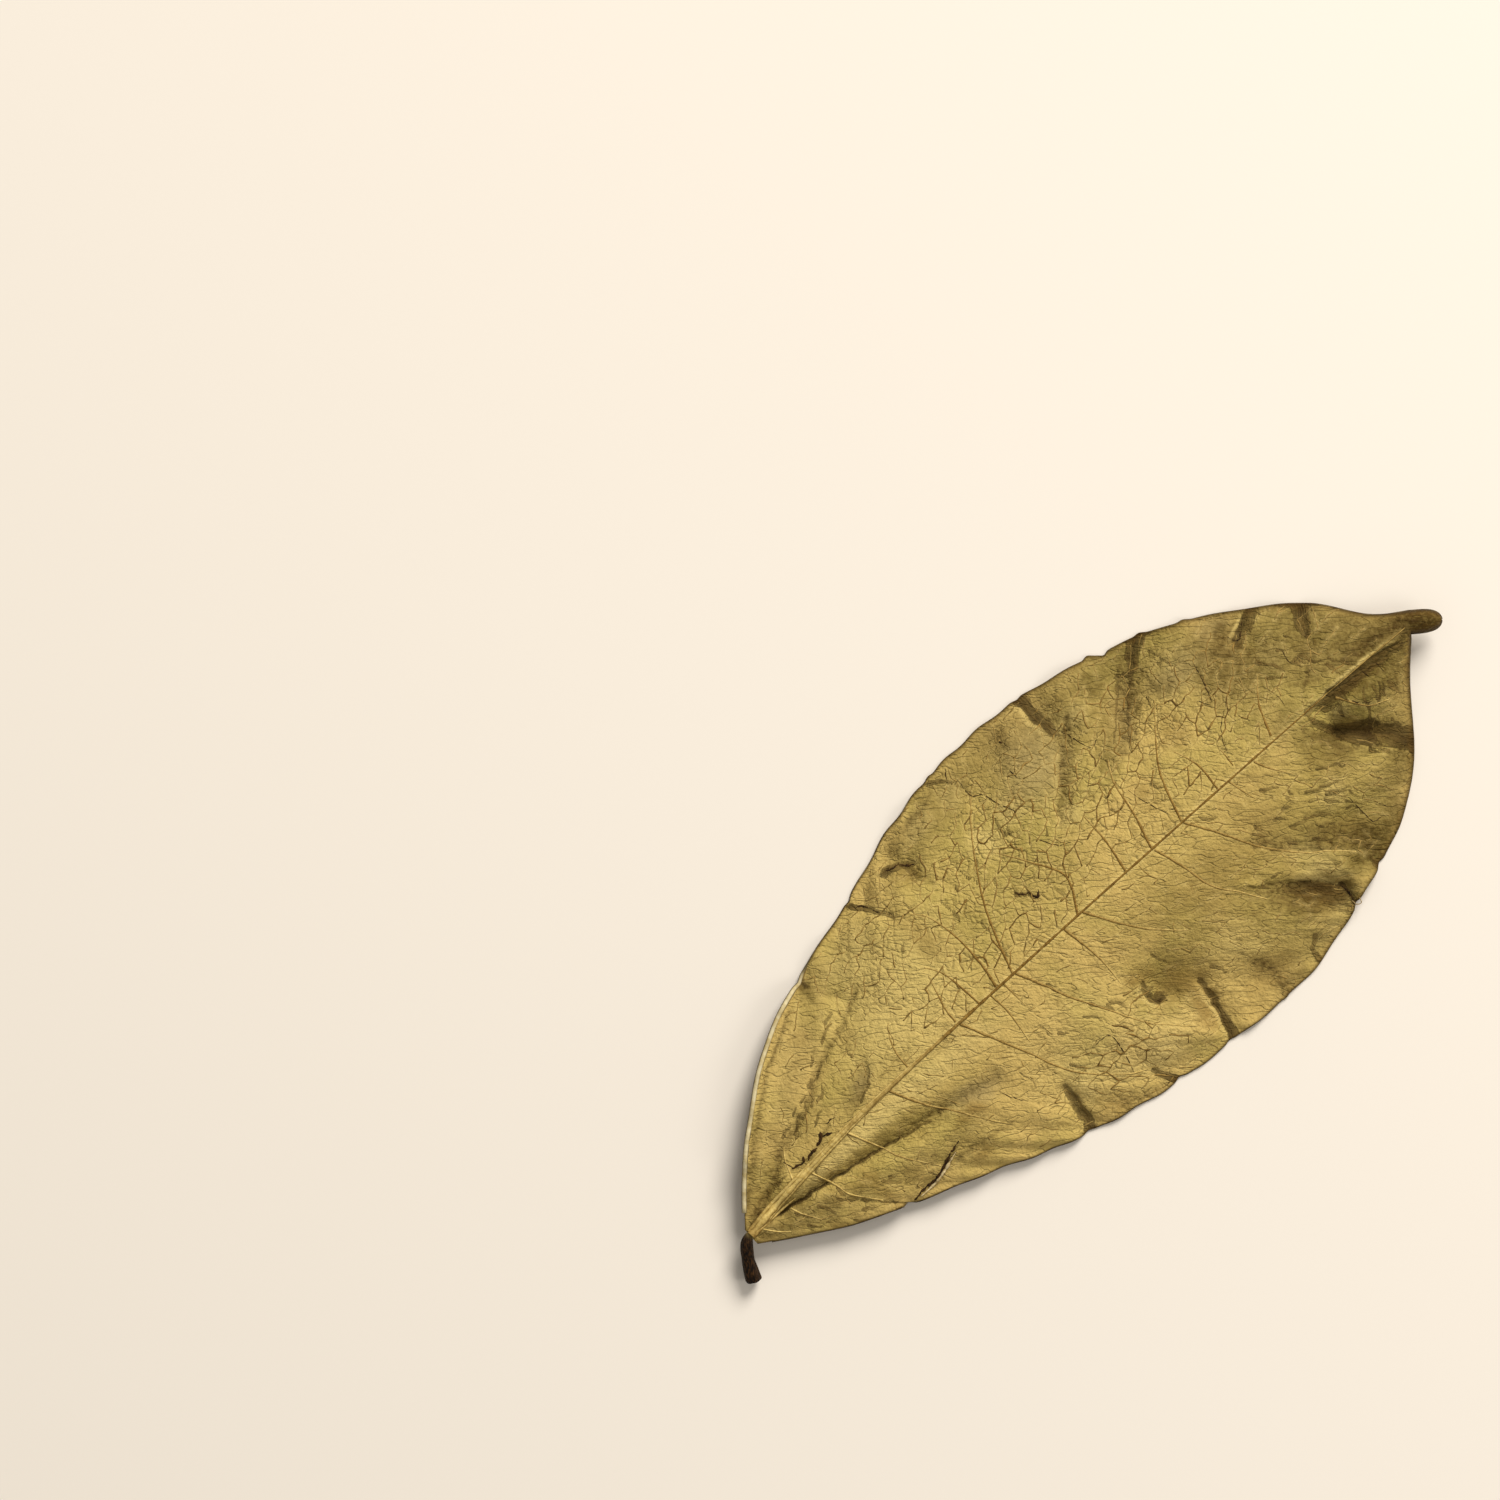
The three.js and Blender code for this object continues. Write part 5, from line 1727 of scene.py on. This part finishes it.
# partly a painted highlight: the warm glints of the near-black stalk, laid along its fibres
STALK_HIGHLIGHT = srgb(84, 56, 28)


def fibre_finish(name, piece, dark, pale, size=0.4, roughness=0.6):
    material, shader, start = new_material(name)
    grains = spread(speckle(in_millimetres(start), size, 3, 0.6), 0.38, 0.64)
    # painted light and shade: the lit top and side take the pale tint, the shaded side stays dark
    cover = spread(painted(start, "crest"), 0.05, 0.75, 0.05, 1.0) * painted(start, "pale")
    colour = tinted(cover, tinted(grains, *dark), tinted(grains, *pale))
    wire(shader, Base_Color=colour, Roughness=roughness + grains * 0.1,
         Normal=bumps(grains, 0.4, 0.12), Specular_IOR_Level=0.15)
    piece.data.materials.append(material)


def stalk_finish():
    material, shader, start = new_material("stalk_bark")
    fibres = speckle(in_millimetres(start, STALK_TURN, STALK_STRETCH), 0.28, 4, 0.65)
    light = spread(fibres, 0.46, 0.70)
    # lighter streaks along the fibres stand partly for painted highlights
    colour = tinted(painted(start, "pale"), tinted(light, BARK, STALK_HIGHLIGHT), tinted(light, *FIBRE_PALE))
    wire(shader, Base_Color=colour, Roughness=0.55 + fibres * 0.25,
         Normal=bumps(fibres, 0.7, 0.2), Specular_IOR_Level=0.12)
    stalk.data.materials.append(material)


fibre_finish("side_vein_skin", veins_piece, FIBRE_DARK, FIBRE_PALE)
fibre_finish("midrib_skin", rib_piece, FIBRE_DARK, FIBRE_PALE, 0.5)
fibre_finish("net_skin", net_piece, NET_DARK, FIBRE_PALE, 1.2)
fibre_finish("margin_skin", bead_piece, BEAD_DARK, BEAD_PALE, 1.5)
fibre_finish("slit_skin", slit_piece, SLIT_SHADE, FIBRE_PALE, roughness=0.8)
fibre_finish("torn_skin", torn_piece, FIBRE_DARK, LIP_PALE, roughness=0.7)
stalk_finish()
print("finishes:", [material.name for material in bpy.data.materials])

# %% [markdown]
# ## Table, light and camera
#
# The leaf lies on a plain pale table. A broad soft light stands beyond the tip, so that every slope
# that faces away from it darkens, and the sky fills the rest. The camera looks straight down, turned
# as the picture is, with the leaf low on the right.

# %% Table
TABLE_SIZE = 3.0  # metres


def table():
    bm = bmesh.new()
    bmesh.ops.create_grid(bm, x_segments=1, y_segments=1, size=TABLE_SIZE / 2)
    made = into_scene("table", bm)
    material, shader, _ = new_material("table_paper")
    wire(shader, Base_Color=srgb(248, 240, 229), Roughness=0.85, Specular_IOR_Level=0.2)
    made.data.materials.append(material)


table()
print("table", TABLE_SIZE, "m wide")

# %% Light
scene = bpy.context.scene
scene.view_settings.view_transform = "Standard"
PICTURE_TURN = math.radians(42.0285)  # from the leaf's +X up to the picture's right side
SKY_COLOUR = (1.0, 0.96, 0.88, 1)
SKY_STRENGTH = 0.33


def picture_direction(right, up, height):
    """A direction given by the picture's right and up, in the part's frame."""
    cos, sin = math.cos(PICTURE_TURN), math.sin(PICTURE_TURN)
    return Vector((right * cos + up * sin, up * cos - right * sin, height)).normalized()


def soft_light(name, towards, distance, size, watts, colour):
    light = bpy.data.lights.new(name, "AREA")
    light.shape = "DISK"
    light.size = size
    light.energy = watts
    light.color = colour
    lamp = bpy.data.objects.new(name, light)
    lamp.location = towards * distance
    lamp.rotation_euler = towards.to_track_quat("Z", "Y").to_euler()
    scene.collection.objects.link(lamp)


soft_light("window", picture_direction(0.42, 0.92, 0.74), 1.9, 1.0, 39.5, (1.0, 0.96, 0.90))
soft_light("side", picture_direction(1.0, -0.3, 0.9), 0.75, 0.35, 0.75, (1.0, 0.97, 0.92))
scene.world = bpy.data.worlds.new("room")
scene.world.use_nodes = True
sky = scene.world.node_tree.nodes["Background"].inputs
sky["Color"].default_value = SKY_COLOUR
sky["Strength"].default_value = SKY_STRENGTH

# %% Camera
PICTURE_MIDDLE = (49.11, 54.94)  # plan place at the middle of the picture
PICTURE_WIDTH = 226.5  # mm
LEAF_LEVEL = 4.0
CAMERA_HEIGHT = 900.0
SENSOR = 36.0

lens = bpy.data.cameras.new("camera")
lens.sensor_width = SENSOR
lens.lens = SENSOR * CAMERA_HEIGHT / PICTURE_WIDTH
camera = bpy.data.objects.new("camera", lens)
camera.location = to_part(*PICTURE_MIDDLE, LEAF_LEVEL + CAMERA_HEIGHT)
camera.rotation_euler = (0, 0, -PICTURE_TURN)
scene.collection.objects.link(camera)
scene.camera = camera
print("camera", round(lens.lens, 1), "mm lens")

# %% [markdown]
# ## Hand over
#
# Every piece moves with the one body and stands for the plain leaf, which is hidden.

# %% Hand over
for piece in PIECES:
    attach(piece, "root")
    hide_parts("soursop_leaf")
